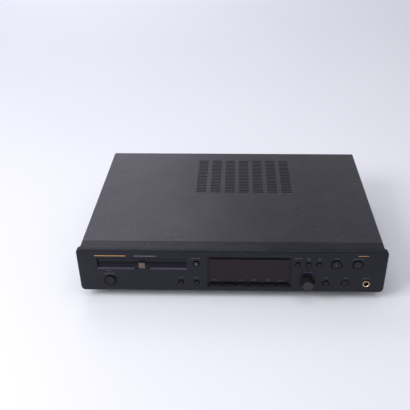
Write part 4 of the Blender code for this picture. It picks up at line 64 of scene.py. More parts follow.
# ---------------------------------------------------------------- sizes taken from the frame
FASCIA_LOW, FASCIA_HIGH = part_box("front_fascia")
COVER_LOW, COVER_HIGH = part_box("top_cover")
REAR_LOW, REAR_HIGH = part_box("rear_panel")
CHASSIS_LOW, CHASSIS_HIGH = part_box("chassis_base")
FACE_Y = FASCIA_LOW.y
FASCIA_FOOT = FASCIA_LOW.z
FASCIA_SPAN = FASCIA_HIGH.x - FASCIA_LOW.x
MILLI = FASCIA_SPAN / 435

# ---------------------------------------------------------------- smoothness and tolerances
MERGE_SHARE = 0.01
MERGE = MILLI * MERGE_SHARE
AROUND = 64
AROUND_SMALL = 40
EASE_STEPS = 4
SHARP_ANGLE = math.radians(34)
CORNER_STEPS = 6
PRINT_CORNER_STEPS = 4
PRINT_DEPTH = MILLI * 0.04
FLAT_GAP = MILLI * 0.02
CAP_REACH = MILLI * 1.6
CAP_SIGN_DEPTH = MILLI * 0.14


# ================================================================ surfaces
def eased(corners, cut, steps=EASE_STEPS):
    """Profile with softened corners.

    Every inner corner b with its neighbours gives a short curve from a to c, which lie the distance cut away from b
    along the two sides: (1 - t)^2 a + 2 t (1 - t) b + t^2 c, with t from 0 to 1.
    """
    corners = np.asarray(corners, float)
    middle = corners[1:-1]
    back = corners[:-2] - middle
    ahead = corners[2:] - middle
    back_length = np.linalg.norm(back, axis=1, keepdims=True)
    ahead_length = np.linalg.norm(ahead, axis=1, keepdims=True)
    a = middle + back * np.minimum(cut, back_length / 2) / back_length
    c = middle + ahead * np.minimum(cut, ahead_length / 2) / ahead_length
    t = np.linspace(0, 1, steps)[None, :, None]
    curves = (1 - t) ** 2 * a[:, None] + 2 * t * (1 - t) * middle[:, None] + t ** 2 * c[:, None]
    return np.vstack([corners[:1], curves.reshape(-1, 2), corners[-1:]])


def turned(profile, centre, axis="y", around=AROUND):
    """Rings of a turned form.

    Each profile point (r, h) becomes the ring (r cos a, h, r sin a) about an axis through centre, a from 0 to one turn;
    on the z axis the ring is (r cos a, r sin a, h).
    """
    profile = np.asarray(profile, float)
    angle = np.linspace(0, 2 * np.pi, around, endpoint=False)
    across = profile[:, :1] * np.cos(angle)
    up = profile[:, :1] * np.sin(angle)
    along = np.repeat(profile[:, 1:], around, axis=1)
    order = (across, along, up) if axis == "y" else (across, up, along)
    return np.stack(order, -1) + np.asarray(centre, float)


def rounded_box_ring(width, height, radius, steps=CORNER_STEPS):
    """Outline of a rectangle with round corners, as points (x, z) about its middle: each corner is a quarter circle."""
    angle = np.linspace(0, np.pi / 2, steps)
    turns = np.arange(4)[:, None] * np.pi / 2 + angle[None]
    mid_x = np.array([1, -1, -1, 1])[:, None] * (width / 2 - radius)
    mid_z = np.array([1, 1, -1, -1])[:, None] * (height / 2 - radius)
    return np.stack([mid_x + radius * np.cos(turns), mid_z + radius * np.sin(turns)], -1).reshape(-1, 2)


def cushion_rings(width, height, radius, levels, centre):
    """Rings of a plate that faces the front.

    Each level (inset, y) gives the rounded rectangle drawn in by inset, at the distance y behind centre.
    """
    rings = []
    for inset, depth in levels:
        outline = rounded_box_ring(width - 2 * inset, height - 2 * inset, max(radius - inset, radius / 4))
        ring = np.stack([outline[:, 0], np.full(len(outline), depth), outline[:, 1]], -1)
        rings.append(ring + np.asarray(centre, float))
    return np.array(rings)


def skin(rings, start=None, end=None):
    """Closed skin over rings[i, j]: four-sided faces between neighbours, and a fan to a middle point at each end."""
    rings = np.asarray(rings, float)
    count, around = rings.shape[:2]
    start = rings[0].mean(0) if start is None else np.asarray(start, float)
    end = rings[-1].mean(0) if end is None else np.asarray(end, float)
    points = np.vstack([rings.reshape(-1, 3), start, end])
    row = np.arange(count - 1)[:, None] * around
    here = np.arange(around)[None]
    there = (here + 1) % around
    quads = np.stack([row + here, row + there, row + around + there, row + around + here], -1).reshape(-1, 4)
    first = np.full(around, count * around)
    last = (count - 1) * around
    near = np.stack([first, there[0], here[0]], -1)
    far = np.stack([first + 1, last + here[0], last + there[0]], -1)
    return points, quads.tolist() + near.tolist() + far.tolist()


def tube_skin(rings):
    """Closed ring-shaped skin over rings[i, j]: the last ring joins the first one, so nothing is left open."""
    rings = np.asarray(rings, float)
    count, around = rings.shape[:2]
    row = np.arange(count)[:, None] * around
    following = (np.arange(count)[:, None] + 1) % count * around
    here = np.arange(around)[None]
    there = (here + 1) % around
    quads = np.stack([row + here, row + there, following + there, following + here], -1).reshape(-1, 4)
    return rings.reshape(-1, 3), quads.tolist()


def make_piece(name, parts, material, body="housing", stands_for=()):
    """One named mesh from several (points, faces) skins, facing outwards, riding on its body."""
    points = []
    faces = []
    start = 0
    for part_points, part_faces in parts:
        points.append(part_points)
        faces += [[corner + start for corner in face] for face in part_faces]
        start += len(part_points)
    mesh = bpy.data.meshes.new(name)
    mesh.from_pydata(np.vstack(points).tolist(), [], faces)
    tidy_mesh(mesh)
    piece = bpy.data.objects.new(name, mesh)
    bpy.context.scene.collection.objects.link(piece)
    mesh.materials.append(material)
    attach(piece, body)
    if stands_for:
        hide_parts(*stands_for)
    return piece


def tidy_mesh(mesh):
    """Merges points that touch, turns the faces outwards, and shades smoothly up to the sharp angle."""
    shell = bmesh.new()
    shell.from_mesh(mesh)
    bmesh.ops.remove_doubles(shell, verts=shell.verts, dist=MERGE)
    bmesh.ops.dissolve_degenerate(shell, edges=shell.edges, dist=MERGE)
    bmesh.ops.recalc_face_normals(shell, faces=shell.faces)
    for face in shell.faces:
        face.smooth = True
    for edge in shell.edges:
        edge.smooth = len(edge.link_faces) == 2 and edge.calc_face_angle() < SHARP_ANGLE
    shell.to_mesh(mesh)
    shell.free()
    mesh.update()


def body_of(node):
    """Name of the body that a node rides on."""
    groups = frame["record"]["behaviour"]["bodies"]
    return next(name for name, members in groups.items() if node in members)


def finished_copy(node, name, material, ease=0.0):
    """Merged copy of a CAD node with softened edges, standing for that node."""
    source = frame["nodes"][node]
    mesh = source.data.copy()
    mesh.name = name
    for layer in ("custom_normal", "sharp_face", "sharp_edge"):
        if layer in mesh.attributes:
            mesh.attributes.remove(mesh.attributes[layer])
    tidy_mesh(mesh)
    mesh.materials.clear()
    mesh.materials.append(material)
    piece = bpy.data.objects.new(name, mesh)
    bpy.context.scene.collection.objects.link(piece)
    if ease:
        bevel = piece.modifiers.new("Softened edges", "BEVEL")
        bevel.width = ease
        bevel.segments = 2
        bevel.limit_method = "ANGLE"
        bevel.angle_limit = SHARP_ANGLE
        bevel.use_clamp_overlap = False
        bevel.harden_normals = True
    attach(piece, body_of(node))
    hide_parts(node)
    return piece


def node_points(node):
    """Corner points of a CAD node at rest, as one array."""
    mesh = frame["nodes"][node].data
    points = np.zeros(len(mesh.vertices) * 3, np.float32)
    mesh.vertices.foreach_get("co", points)
    return points.reshape(-1, 3).astype(float)


def round_front(node, reach):
    """Middle (x, z), front y and radius of the round part of a node that lies within reach of its front."""
    low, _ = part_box(node)
    points = node_points(node)
    near = points[points[:, 1] < low.y + reach]
    centre = (near[:, [0, 2]].min(0) + near[:, [0, 2]].max(0)) / 2
    radius = np.hypot(near[:, 0] - centre[0], near[:, 2] - centre[1]).max()
    return float(centre[0]), float(centre[1]), low.y, float(radius)


# ================================================================ shared effects
FINE_SCALE, PIT_SCALE = 2600.0, 1700.0
SLOW_SCALE, QUICK_SCALE = 38.0, 900.0
SPECK_CELLS = ((420.0, 0.16), (170.0, 0.10))
DRIFT_SCALE = 22.0
CHIP_SCALE = 320.0
SPANGLE_SCALE = 160.0
ROLLING_STRETCH = (30.0, 1800.0, 1800.0)
WIPING_STRETCH = (6.0, 40.0, 40.0)


def new_group(name, inputs, outputs):
    """Empty node group with number inputs (name, value) and outputs (name, kind)."""
    group = bpy.data.node_groups.new(name, "ShaderNodeTree")
    for label, value in inputs:
        socket = group.interface.new_socket(name=label, in_out="INPUT", socket_type="NodeSocketFloat")
        socket.default_value = value
    for label, kind in outputs:
        group.interface.new_socket(name=label, in_out="OUTPUT", socket_type=kind)
    return group, group.nodes.new("NodeGroupInput"), group.nodes.new("NodeGroupOutput")


def node_in(tree, kind, links=(), **values):
    """Adds a node to a tree, sets its named properties, and feeds its inputs: (input, value or output socket)."""
    node = tree.nodes.new(kind)
    for key, value in values.items():
        setattr(node, key, value)
    for key, value in links:
        if isinstance(value, bpy.types.NodeSocket):
            tree.links.new(value, node.inputs[key])
        else:
            node.inputs[key].default_value = value
    return node


def math_in(tree, operation, first, second=0.0, clamp=False):
    """Result of a two-number calculation."""
    node = node_in(tree, "ShaderNodeMath", [(0, first), (1, second)], operation=operation, use_clamp=clamp)
    return node.outputs[0]


def stepped(tree, value, low, high, to_low=0.0, to_high=1.0):
    """Value mapped smoothly from the span low..high to to_low..to_high."""
    node = node_in(tree, "ShaderNodeMapRange",
                   [("Value", value), ("From Min", low), ("From Max", high), ("To Min", to_low), ("To Max", to_high)],
                   interpolation_type="SMOOTHSTEP")
    return node.outputs["Result"]


def noise_in(tree, place, scale, detail=2.0, roughness=0.5):
    """Noise value at a place."""
    return node_in(tree, "ShaderNodeTexNoise", [("Vector", place), ("Scale", scale), ("Detail", detail),
                                                ("Roughness", roughness)]).outputs["Fac"]


def make_grain_group():
    """Moulded or sprayed grain: a fine height, and a slow mottle of the tone."""
    group, given, out = new_group("Moulded grain", [("Scale", 1.0)], [("Height", "NodeSocketFloat"),
                                                                     ("Mottle", "NodeSocketFloat")])
    place = node_in(group, "ShaderNodeTexCoord").outputs["Object"]
    scale = given.outputs["Scale"]
    fine = noise_in(group, place, math_in(group, "MULTIPLY", scale, FINE_SCALE), 3.0, 0.6)
    pit_scale = math_in(group, "MULTIPLY", scale, PIT_SCALE)
    pits = node_in(group, "ShaderNodeTexVoronoi", [("Vector", place), ("Scale", pit_scale)])
    height = math_in(group, "ADD", math_in(group, "MULTIPLY", fine, 0.6),
                     math_in(group, "MULTIPLY", pits.outputs["Distance"], 0.4))
    slow = noise_in(group, place, SLOW_SCALE, 4.0, 0.55)
    quick = noise_in(group, place, QUICK_SCALE, 2.0, 0.5)
    mottle = math_in(group, "ADD", math_in(group, "MULTIPLY", slow, 0.7), math_in(group, "MULTIPLY", quick, 0.3))
    group.links.new(height, out.inputs["Height"])
    group.links.new(mottle, out.inputs["Mottle"])
    return group


def make_dust_group():
    """Settled dust: a thin film and single specks, on faces that look up."""
    group, given, out = new_group("Settled dust", [("Speck share", 0.2), ("Film", 0.3)],
                                  [("Specks", "NodeSocketFloat"), ("Film", "NodeSocketFloat")])
    place = node_in(group, "ShaderNodeTexCoord").outputs["Object"]
    normal = node_in(group, "ShaderNodeNewGeometry").outputs["True Normal"]
    up = node_in(group, "ShaderNodeSeparateXYZ", [(0, normal)]).outputs["Z"]
    facing = stepped(group, up, 0.25, 0.9)
    masks = []
    for scale, size in SPECK_CELLS:
        cells = node_in(group, "ShaderNodeTexVoronoi", [("Vector", place), ("Scale", scale)])
        pick = node_in(group, "ShaderNodeSeparateColor", [(0, cells.outputs["Color"])])
        chosen = math_in(group, "LESS_THAN", pick.outputs[0], given.outputs["Speck share"])
        reach = math_in(group, "MULTIPLY", pick.outputs[1], size)
        speck = math_in(group, "LESS_THAN", cells.outputs["Distance"], reach)
        masks.append(math_in(group, "MULTIPLY", chosen, speck))
    specks = math_in(group, "MULTIPLY", math_in(group, "MAXIMUM", masks[0], masks[1]), facing)
    drift = noise_in(group, place, DRIFT_SCALE, 6.0, 0.62)
    film = math_in(group, "MULTIPLY", math_in(group, "MULTIPLY", stepped(group, drift, 0.35, 0.8), facing),
                   given.outputs["Film"])
    group.links.new(specks, out.inputs["Specks"])
    group.links.new(film, out.inputs["Film"])
    return group


def make_edge_group():
    """Softened edges: the rounded normal, and a worn mask where it leaves the flat one."""
    group, given, out = new_group("Softened edges", [("Radius", 0.0003)], [("Normal", "NodeSocketVector"),
                                                                          ("Wear", "NodeSocketFloat")])
    place = node_in(group, "ShaderNodeTexCoord").outputs["Object"]
    rounded = node_in(group, "ShaderNodeBevel", [("Radius", given.outputs["Radius"])], samples=4).outputs["Normal"]
    flat = node_in(group, "ShaderNodeNewGeometry").outputs["Normal"]
    agree = node_in(group, "ShaderNodeVectorMath", [(0, rounded), (1, flat)], operation="DOT_PRODUCT").outputs["Value"]
    edge = stepped(group, agree, 0.98, 0.80)
    broken = stepped(group, noise_in(group, place, CHIP_SCALE, 3.0, 0.6), 0.42, 0.66)
    group.links.new(rounded, out.inputs["Normal"])
    group.links.new(math_in(group, "MULTIPLY", edge, broken), out.inputs["Wear"])
    return group


def make_handling_group():
    """Faint wiping marks: patches and long soft streaks that change the gloss."""
    group, _, out = new_group("Wiped gloss", [], [("Gloss", "NodeSocketFloat")])
    place = node_in(group, "ShaderNodeTexCoord").outputs["Object"]
    stretched = node_in(group, "ShaderNodeMapping", [("Vector", place), ("Scale", WIPING_STRETCH),
                                                     ("Rotation", (0.0, 0.0, 0.4))]).outputs[0]
    streaks = noise_in(group, stretched, 4.0, 5.0, 0.65)
    patches = noise_in(group, place, 14.0, 3.0, 0.5)
    gloss = math_in(group, "ADD", math_in(group, "MULTIPLY", streaks, 0.5), math_in(group, "MULTIPLY", patches, 0.5))
    group.links.new(gloss, out.inputs["Gloss"])
    return group


def make_brushed_group():
    """Rolled metal: fine parallel lines along the sheet, and a zinc-like mottle."""
    group, _, out = new_group("Rolled metal", [], [("Lines", "NodeSocketFloat"), ("Spangle", "NodeSocketFloat")])
    place = node_in(group, "ShaderNodeTexCoord").outputs["Object"]
    stretched = node_in(group, "ShaderNodeMapping", [("Vector", place), ("Scale", ROLLING_STRETCH)]).outputs[0]
    lines = noise_in(group, stretched, 1.0, 3.0, 0.6)
    spangle = node_in(group, "ShaderNodeTexVoronoi", [("Vector", place), ("Scale", SPANGLE_SCALE)])
    group.links.new(lines, out.inputs["Lines"])
    group.links.new(spangle.outputs["Distance"], out.inputs["Spangle"])
    return group


GRAIN = make_grain_group()
DUST = make_dust_group()
EDGES = make_edge_group()
HANDLING = make_handling_group()
ROLLED = make_brushed_group()


def group_in(tree, group, **values):
    """Puts a shared effect into a material's tree."""
    node = tree.nodes.new("ShaderNodeGroup")
    node.node_tree = group
    for key, value in values.items():
        node.inputs[key.replace("_", " ")].default_value = value
    return node


def tone(tree, base, other, share):
    """Colour mixed from base towards other by a share."""
    node = tree.nodes.new("ShaderNodeMix")
    node.data_type = "RGBA"
    for index, value in ((0, share), (6, base), (7, other)):
        if isinstance(value, bpy.types.NodeSocket):
            tree.links.new(value, node.inputs[index])
        else:
            node.inputs[index].default_value = value
    return node.outputs[2]


def rgb(red, green, blue):
    """Linear colour from the 0..255 values that a colour shows on screen."""
    values = np.array([red, green, blue]) / 255
    linear = np.where(values <= 0.04045, values / 12.92, ((values + 0.055) / 1.055) ** 2.4)
    return (*(float(value) for value in linear), 1.0)


DUST_FILM = rgb(168, 166, 172)
DUST_SPECK = rgb(196, 194, 200)


def make_finish(name, colour, roughness, metallic=0.0, grain=1.0, relief=0.06, mottle=0.16, specks=0.0, film=0.0,
                wear=0.25, worn=None, gloss_swing=0.10, coat=0.0, coat_roughness=0.1, edge=0.25, specular=0.5,
                rolled=0.0):
    """Procedural finish of one material: grain, mottle, dust, worn edges, and gloss that wanders."""
    finish = bpy.data.materials.new(name)
    finish.use_nodes = True
    tree = finish.node_tree
    shader = tree.nodes["Principled BSDF"]
    base = rgb(*colour)
    dark = tuple(part * (1 - mottle) for part in base[:3]) + (1.0,)
    light = tuple(min(1.0, part * (1 + mottle)) for part in base[:3]) + (1.0,)
    texture = group_in(tree, GRAIN, Scale=grain)
    shade = tone(tree, dark, light, stepped(tree, texture.outputs["Mottle"], 0.32, 0.68))
    edges = group_in(tree, EDGES, Radius=MILLI * edge)
    worn_colour = rgb(*worn) if worn else tuple(min(1.0, part * 1.9 + 0.01) for part in base[:3]) + (1.0,)
    shade = tone(tree, shade, worn_colour, math_in(tree, "MULTIPLY", edges.outputs["Wear"], wear))
    height = texture.outputs["Height"]
    gloss = group_in(tree, HANDLING).outputs["Gloss"]
    level = stepped(tree, gloss, 0.3, 0.7, roughness - gloss_swing, roughness + gloss_swing)
    if rolled:
        metal = group_in(tree, ROLLED)
        shade = tone(tree, shade, light, math_in(tree, "MULTIPLY", metal.outputs["Spangle"], rolled))
        height = math_in(tree, "ADD", math_in(tree, "MULTIPLY", height, 0.4),
                         math_in(tree, "MULTIPLY", metal.outputs["Lines"], 0.6))
    if specks or film:
        dust = group_in(tree, DUST, Speck_share=specks, Film=film)
        shade = tone(tree, shade, DUST_FILM, dust.outputs["Film"])
        shade = tone(tree, shade, DUST_SPECK, math_in(tree, "MULTIPLY", dust.outputs["Specks"], 0.7))
        level = math_in(tree, "ADD", level, math_in(tree, "MULTIPLY", dust.outputs["Film"], 0.3), True)
    bump = node_in(tree, "ShaderNodeBump", [("Height", height), ("Strength", 1.0), ("Distance", MILLI * relief),
                                            ("Normal", edges.outputs["Normal"])])
    tree.links.new(shade, shader.inputs["Base Color"])
    tree.links.new(level, shader.inputs["Roughness"])
    tree.links.new(bump.outputs["Normal"], shader.inputs["Normal"])
    shader.inputs["Metallic"].default_value = metallic
    shader.inputs["Specular IOR Level"].default_value = specular
    shader.inputs["Coat Weight"].default_value = coat
    shader.inputs["Coat Roughness"].default_value = coat_roughness
    return finish


FINISH = {
    "fascia_plastic": make_finish("front_moulding_grained", (17, 17, 31), 0.41, specular=0.29, relief=0.030,
                                  mottle=0.06, specks=0.08, film=0.03, wear=0.12, gloss_swing=0.03),
    "cover_paint": make_finish("cover_satin_paint", (35, 34, 46), 0.40, grain=0.7, relief=0.022, mottle=0.05,
                               specks=0.22, film=0.02, wear=0.10, gloss_swing=0.04),
    "window_plastic": make_finish("window_tinted", (30, 22, 25), 0.14, relief=0.0, mottle=0.05, specks=0.05, wear=0.05,
                                  gloss_swing=0.04, specular=0.22),
    "button_plastic": make_finish("button_caps", (22, 22, 28), 0.38, specular=0.26, relief=0.010, mottle=0.06,
                                  wear=0.10, gloss_swing=0.05),
    "socket_gold": make_finish("socket_plating", (236, 206, 160), 0.22, 1.0, relief=0.004, mottle=0.08, wear=0.2,
                               gloss_swing=0.07),
    "tray_plastic": make_finish("tray_moulding", (24, 24, 36), 0.45, specular=0.24, relief=0.03, mottle=0.06,
                                film=0.02, wear=0.10, gloss_swing=0.05),
    "steel": make_finish("zinc_plated_steel", (176, 178, 180), 0.34, 1.0, relief=0.004, mottle=0.07, wear=0.2,
                         gloss_swing=0.05, rolled=0.4),
    "loader_plastic": make_finish("loader_moulding", (28, 28, 30), 0.5, relief=0.03, mottle=0.08),
    "gear_plastic": make_finish("gear_moulding", (214, 210, 198), 0.42, relief=0.01, mottle=0.05, wear=0.1),
    "board": make_finish("board_lacquer", (34, 74, 48), 0.35, relief=0.02, mottle=0.25, coat=0.5),
    "rubber": make_finish("foot_rubber", (24, 24, 25), 0.78, relief=0.06, mottle=0.15, film=0.1),
    "glass": make_finish("lens_glass", (60, 70, 110), 0.05, relief=0.0, mottle=0.05, coat=1.0),
    "copper": make_finish("winding_lacquer", (150, 78, 44), 0.35, 0.7, relief=0.05, mottle=0.2),
    "capacitor_sleeve": make_finish("capacitor_sleeve", (26, 30, 58), 0.3, relief=0.01, mottle=0.06, coat=0.4),
    "aluminium": make_finish("satin_aluminium", (196, 198, 200), 0.36, 1.0, relief=0.004, mottle=0.08, rolled=0.3),
}
# Black of the knob's fluted side, the pointer slot and the socket bush, and painted shade: the black rings in the round
# recesses.
BLACK_AND_PAINTED_SHADE = make_finish("black_parts_and_painted_shade", (9, 9, 11), 0.6, relief=0.02, mottle=0.1, wear=0.0)
KNOB_FACE = make_finish("level_knob_face", (40, 40, 46), 0.34, specular=0.4, relief=0.008, mottle=0.06, wear=0.2)
PRINT_PALE = make_finish("panel_print_pale", (150, 150, 158), 0.5, relief=0.0, mottle=0.10, wear=0.0)
PRINT_DIM = make_finish("panel_print_dim", (92, 92, 100), 0.5, relief=0.0, mottle=0.10, wear=0.0)
PAD_METAL = make_finish("tray_pad_plate", (112, 97, 87), 0.32, 0.6, relief=0.01, mottle=0.12, wear=0.2, rolled=0.3)
SCREW_BLACK = make_finish("screw_black_zinc", (34, 34, 38), 0.34, 0.8, relief=0.01, mottle=0.15, wear=0.35,
                          worn=(120, 120, 124))
INSULATOR_RED = make_finish("insulator_red", (150, 24, 26), 0.4, relief=0.01, mottle=0.06)
INSULATOR_WHITE = make_finish("insulator_white", (214, 212, 206), 0.4, relief=0.01, mottle=0.05)
INSULATOR_AMBER = make_finish("insulator_amber", (196, 110, 26), 0.4, relief=0.01, mottle=0.05)
# Black for painted shade: the gaps round the keys, the top of the window glass and the top of the tray's face.
PAINTED_SHADE_BLACK = make_finish("border_black", (5, 4, 5), 0.5, specular=0.08, relief=0.0, mottle=0.1, wear=0.0)
KEY_FACE = make_finish("bar_key_face", (18, 17, 21), 0.42, specular=0.22, relief=0.010, mottle=0.06, wear=0.08)
# Pale grey for the painted highlight on the lit ledge below the tray's slot.
PAINTED_LEDGE_HIGHLIGHT = make_finish("slot_ledge_painted_highlight", (64, 62, 76), 0.42, specular=0.3, relief=0.02, mottle=0.08, wear=0.25)
# Dark blue-grey for the painted shade on the lower part of the tray's face.
PAINTED_TRAY_SHADE = make_finish("tray_face_painted_shade", (9, 14, 20), 0.4, specular=0.14, relief=0.01, mottle=0.08, wear=0.05)
CHIP_BLACK = make_finish("chip_case_black", (22, 22, 24), 0.5, relief=0.01, mottle=0.08)
GILT = make_finish("gilt_strip", (196, 150, 84), 0.36, 0.6, relief=0.0, mottle=0.10, wear=0.15)

for node_name, node in frame["nodes"].items():
    node.material_slots[0].material = FINISH[SLOT_OF[node_name]]


# ================================================================ housing
finished_copy("front_fascia", "front_moulding", FINISH["fascia_plastic"])
finished_copy("top_cover", "cover_shell", FINISH["cover_paint"])
finished_copy("tray_front", "tray_face", FINISH["tray_plastic"])
finished_copy("chassis_base", "chassis_pan", FINISH["steel"])
finished_copy("rear_panel", "rear_plate", FINISH["steel"])
finished_copy("disc_tray", "tray_moulded", FINISH["tray_plastic"])


# ================================================================ round push buttons
def dress_button(node, name, dish):
    """Turned cap: a shallow dished face, a soft rim, a straight side, and the flange that holds it in the panel."""
    _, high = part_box(node)
    x, z, front, radius = round_front(node, CAP_REACH)
    points = node_points(node)
    away = np.hypot(points[:, 0] - x, points[:, 2] - z)
    flange = away.max()
    flange_edge = points[away > flange - MERGE][:, 1]
    flange_front, flange_back = flange_edge.min(), flange_edge.max()
    stem = min(radius / 2, flange / 2)
    face = [(radius * share, front + dish * (1 - share ** 2)) for share in (0.2, 0.4, 0.6, 0.8)]
    rim = [(radius * 0.93, front), (radius, front), (radius, flange_front), (flange, flange_front),
           (flange, flange_back), (stem, flange_back), (stem, high.y), (stem / 2, high.y)]
    profile = np.vstack([face, eased([face[-1]] + rim, MILLI * 0.5)[1:]])
    rings = turned(profile, (x, 0, z))
    part = skin(rings, start=(x, front + dish, z))
    make_piece(name, [part], FINISH["button_plastic"], body_of(node), (node,))


CAPS = (("power_button", "power_cap", 0.35), ("open_button", "open_cap", 0.25),
        ("function_button_left", "function_cap_left", 0.2), ("function_button_right", "function_cap_right", 0.2),
        ("transport_button_1", "transport_cap_1", 0.2), ("transport_button_2", "transport_cap_2", 0.2),
        ("transport_button_3", "transport_cap_3", 0.2), ("large_button_left", "large_cap_left", 0.35),
        ("large_button_right", "large_cap_right", 0.35), ("mode_button", "mode_cap", 0.2))
for node_name, cap_name, dish_size in CAPS:
    dress_button(node_name, cap_name, MILLI * dish_size)


# ================================================================ painted shade rings in the recesses, and knobs
RECESS_SHALLOW, RECESS_DEEP = MILLI * 0.9, MILLI * 2.6
LEVEL_REACH, PHONES_REACH, CAP_CLEARANCE = MILLI * 13, MILLI * 8, MILLI * 3
FLUTES = 36
FLUTE_DEPTH = MILLI * 0.35
STEPS_PER_FLUTE = 4
PHONES_PROUD = MILLI * 0.6
PHONES_STEM = MILLI * 9


def recess_of(x, z, reach):
    """Inner radius, outer radius and floor y of the round recess in the front moulding about (x, z)."""
    points = node_points("front_fascia")
    away = np.hypot(points[:, 0] - x, points[:, 2] - z)
    depth = points[:, 1] - FACE_Y
    floor = points[(away < reach) & (depth > RECESS_SHALLOW) & (depth < RECESS_DEEP)]
    radii = np.hypot(floor[:, 0] - x, floor[:, 2] - z)
    return float(radii.min()), float(radii.max()), float(floor[:, 1].min())


def paint_recess_shade_ring(name, x, z, reach):
    """Painted shade: a black ring of L-shaped section, along the recess wall and its floor, turned about (x, z)."""
    inner, outer, floor = recess_of(x, z, reach)
    wall = MILLI * 0.12
    gap = FLAT_GAP * 2
    mouth = FACE_Y + MILLI * 0.25
    section = [(outer - gap, mouth), (outer - gap, floor - gap), (inner + gap, floor - gap),
               (inner + gap, floor - gap - wall), (outer - gap - wall, floor - gap - wall), (outer - gap - wall, mouth)]
    ring = tube_skin(turned(section, (x, 0, z)))
    make_piece(name, [ring], BLACK_AND_PAINTED_SHADE, "housing")


def fluted(profile, centre, flutes, depth, around):
    """Rings of a fluted knob: at angle a the radius is r - d (1 + cos(flutes a)) / 2, with its own depth d per ring."""
    profile = np.asarray(profile, float)
    angle = np.linspace(0, 2 * np.pi, around, endpoint=False)
    wave = (1 + np.cos(flutes * angle)) / 2
    radius = profile[:, :1] - profile[:, 2:] * wave * depth
    along = np.repeat(profile[:, 1:2], around, axis=1)
    return np.stack([radius * np.cos(angle), along, radius * np.sin(angle)], -1) + np.asarray(centre, float)


def make_level_knob():
    """Black fluted knob with a paler flat face, set in its wide recess, which a black ring of painted shade lines."""
    _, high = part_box("level_knob")
    x, z, front, _ = round_front("level_knob", MILLI * 1.0)
    points = node_points("level_knob")
    near = points[points[:, 1] < FACE_Y + MILLI * 2.2]
    root = float(np.hypot(near[:, 0] - x, near[:, 2] - z).max())
    tip = root * 0.955
    foot = float(near[:, 1].max())
    rim = MILLI * 0.45
    lip = front + MILLI * 0.12
    profile = [(tip * 0.90, lip + MILLI * 0.25, 0), (tip * 0.905, lip, 0), (tip - rim, lip, 0), (tip, lip + rim, 0.4),
               (tip + (root - tip) * 0.2, lip + rim * 3, 1), (root, foot - rim, 1), (root - rim, foot, 0.5),
               (root * 0.4, foot, 0), (root * 0.36, foot, 0), (root * 0.36, high.y, 0)]
    side = skin(fluted(profile, (x, 0, z), FLUTES, FLUTE_DEPTH, FLUTES * STEPS_PER_FLUTE))
    make_piece("level_knob_side", [side], BLACK_AND_PAINTED_SHADE, "level_knob", ("level_knob",))
    radius = tip * 0.895
    face = [(radius * share, front + MILLI * 0.10 * (1 - share ** 2)) for share in (0.25, 0.5, 0.75, 0.93)]
    face += [(radius, front + MILLI * 0.08), (radius, lip + MILLI * 0.2)]
    disc = skin(turned(face, (x, 0, z)), start=(x, front + MILLI * 0.10, z))
    make_piece("level_knob_plate", [disc], KNOB_FACE, "level_knob")
    mark = bar_skin([(x, z + radius * 0.70, MILLI * 0.7, radius * 0.5, 0.0)], front + MILLI * 0.09)
    make_piece("level_knob_pointer", mark, PRINT_DIM, "level_knob")
    paint_recess_shade_ring("level_recess_ring", x, z, LEVEL_REACH)
    return x, z


def make_phones_knob():
    """Small knob that is nearly flush, with a dark pointer slot."""
    _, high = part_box("phones_knob")
    x, z, _, radius = round_front("phones_knob", CAP_REACH)
    front = FACE_Y - PHONES_PROUD
    profile = [(radius * 0.5, front + MILLI * 0.05), (radius, front), (radius, high.y - PHONES_STEM),
               (radius / 3, high.y - PHONES_STEM), (radius / 3, high.y)]
    rings = turned(eased(profile, MILLI * 0.5), (x, 0, z))
    make_piece("phones_knob_cap", [skin(rings)], FINISH["button_plastic"], "phones_knob",
               ("phones_knob",))
    slot = bar_skin([(x, z + radius * 0.52, MILLI * 0.8, radius * 0.85, 0.0)], front + MILLI * 0.03)
    make_piece("phones_knob_slot", slot, BLACK_AND_PAINTED_SHADE, "phones_knob")
    # Painted shade: a black ring in the recess round the knob.
    paint_recess_shade_ring("phones_recess_ring", x, z, PHONES_REACH)
    return x, z


def bar_skin(places, surface, thickness=PRINT_DEPTH):
    """Thin pads with round ends on an upright surface.

    Each place (x, z, width, height, turn) gives two outlines about (x, z), turned by the angle, one on the surface
    and one, a little smaller, the thickness in front of it; a middle point closes each.
    """
    parts = []
    for x, z, width, height, turn in places:
        radius = min(width, height) * 0.45
        outline = rounded_box_ring(width, height, radius, PRINT_CORNER_STEPS)
        cos, sin = math.cos(turn), math.sin(turn)
        outline = outline @ np.array([[cos, sin], [-sin, cos]])
        rings = []
        for share, depth in ((1.0, 0.0), (1.0, thickness * 0.6), (0.94, thickness)):
            ring = np.stack([outline[:, 0] * share, np.full(len(outline), -depth), outline[:, 1] * share], -1)
            rings.append(ring + np.array([x, surface - FLAT_GAP, z]))
        parts.append(skin(rings))
    return parts


def symbol_skin(outline, x, z, size, surface):
    """Flat sign with a straight-sided outline, as thick as the print."""
    outline = np.asarray(outline, float) * size
    rings = []
    for share, depth in ((1.0, 0.0), (1.0, PRINT_DEPTH)):
        ring = np.stack([outline[:, 0] * share, np.full(len(outline), -depth), outline[:, 1] * share], -1)
        rings.append(ring + np.array([x, surface - FLAT_GAP, z]))
    return skin(rings)


def middle_of(node):
    """Middle (x, z) of a node, seen from the front."""
    low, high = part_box(node)
    return (low.x + high.x) / 2, (low.z + high.z) / 2


LEVEL_PLACE = make_level_knob()
PHONES_PLACE = make_phones_knob()
# Painted shade: a black ring in the recess round each cap.
for node_name, cap_name, _ in CAPS:
    place_x, place_z = middle_of(node_name)
    paint_recess_shade_ring(f"{cap_name}_ring", place_x, place_z, round_front(node_name, CAP_REACH)[3] + CAP_CLEARANCE)


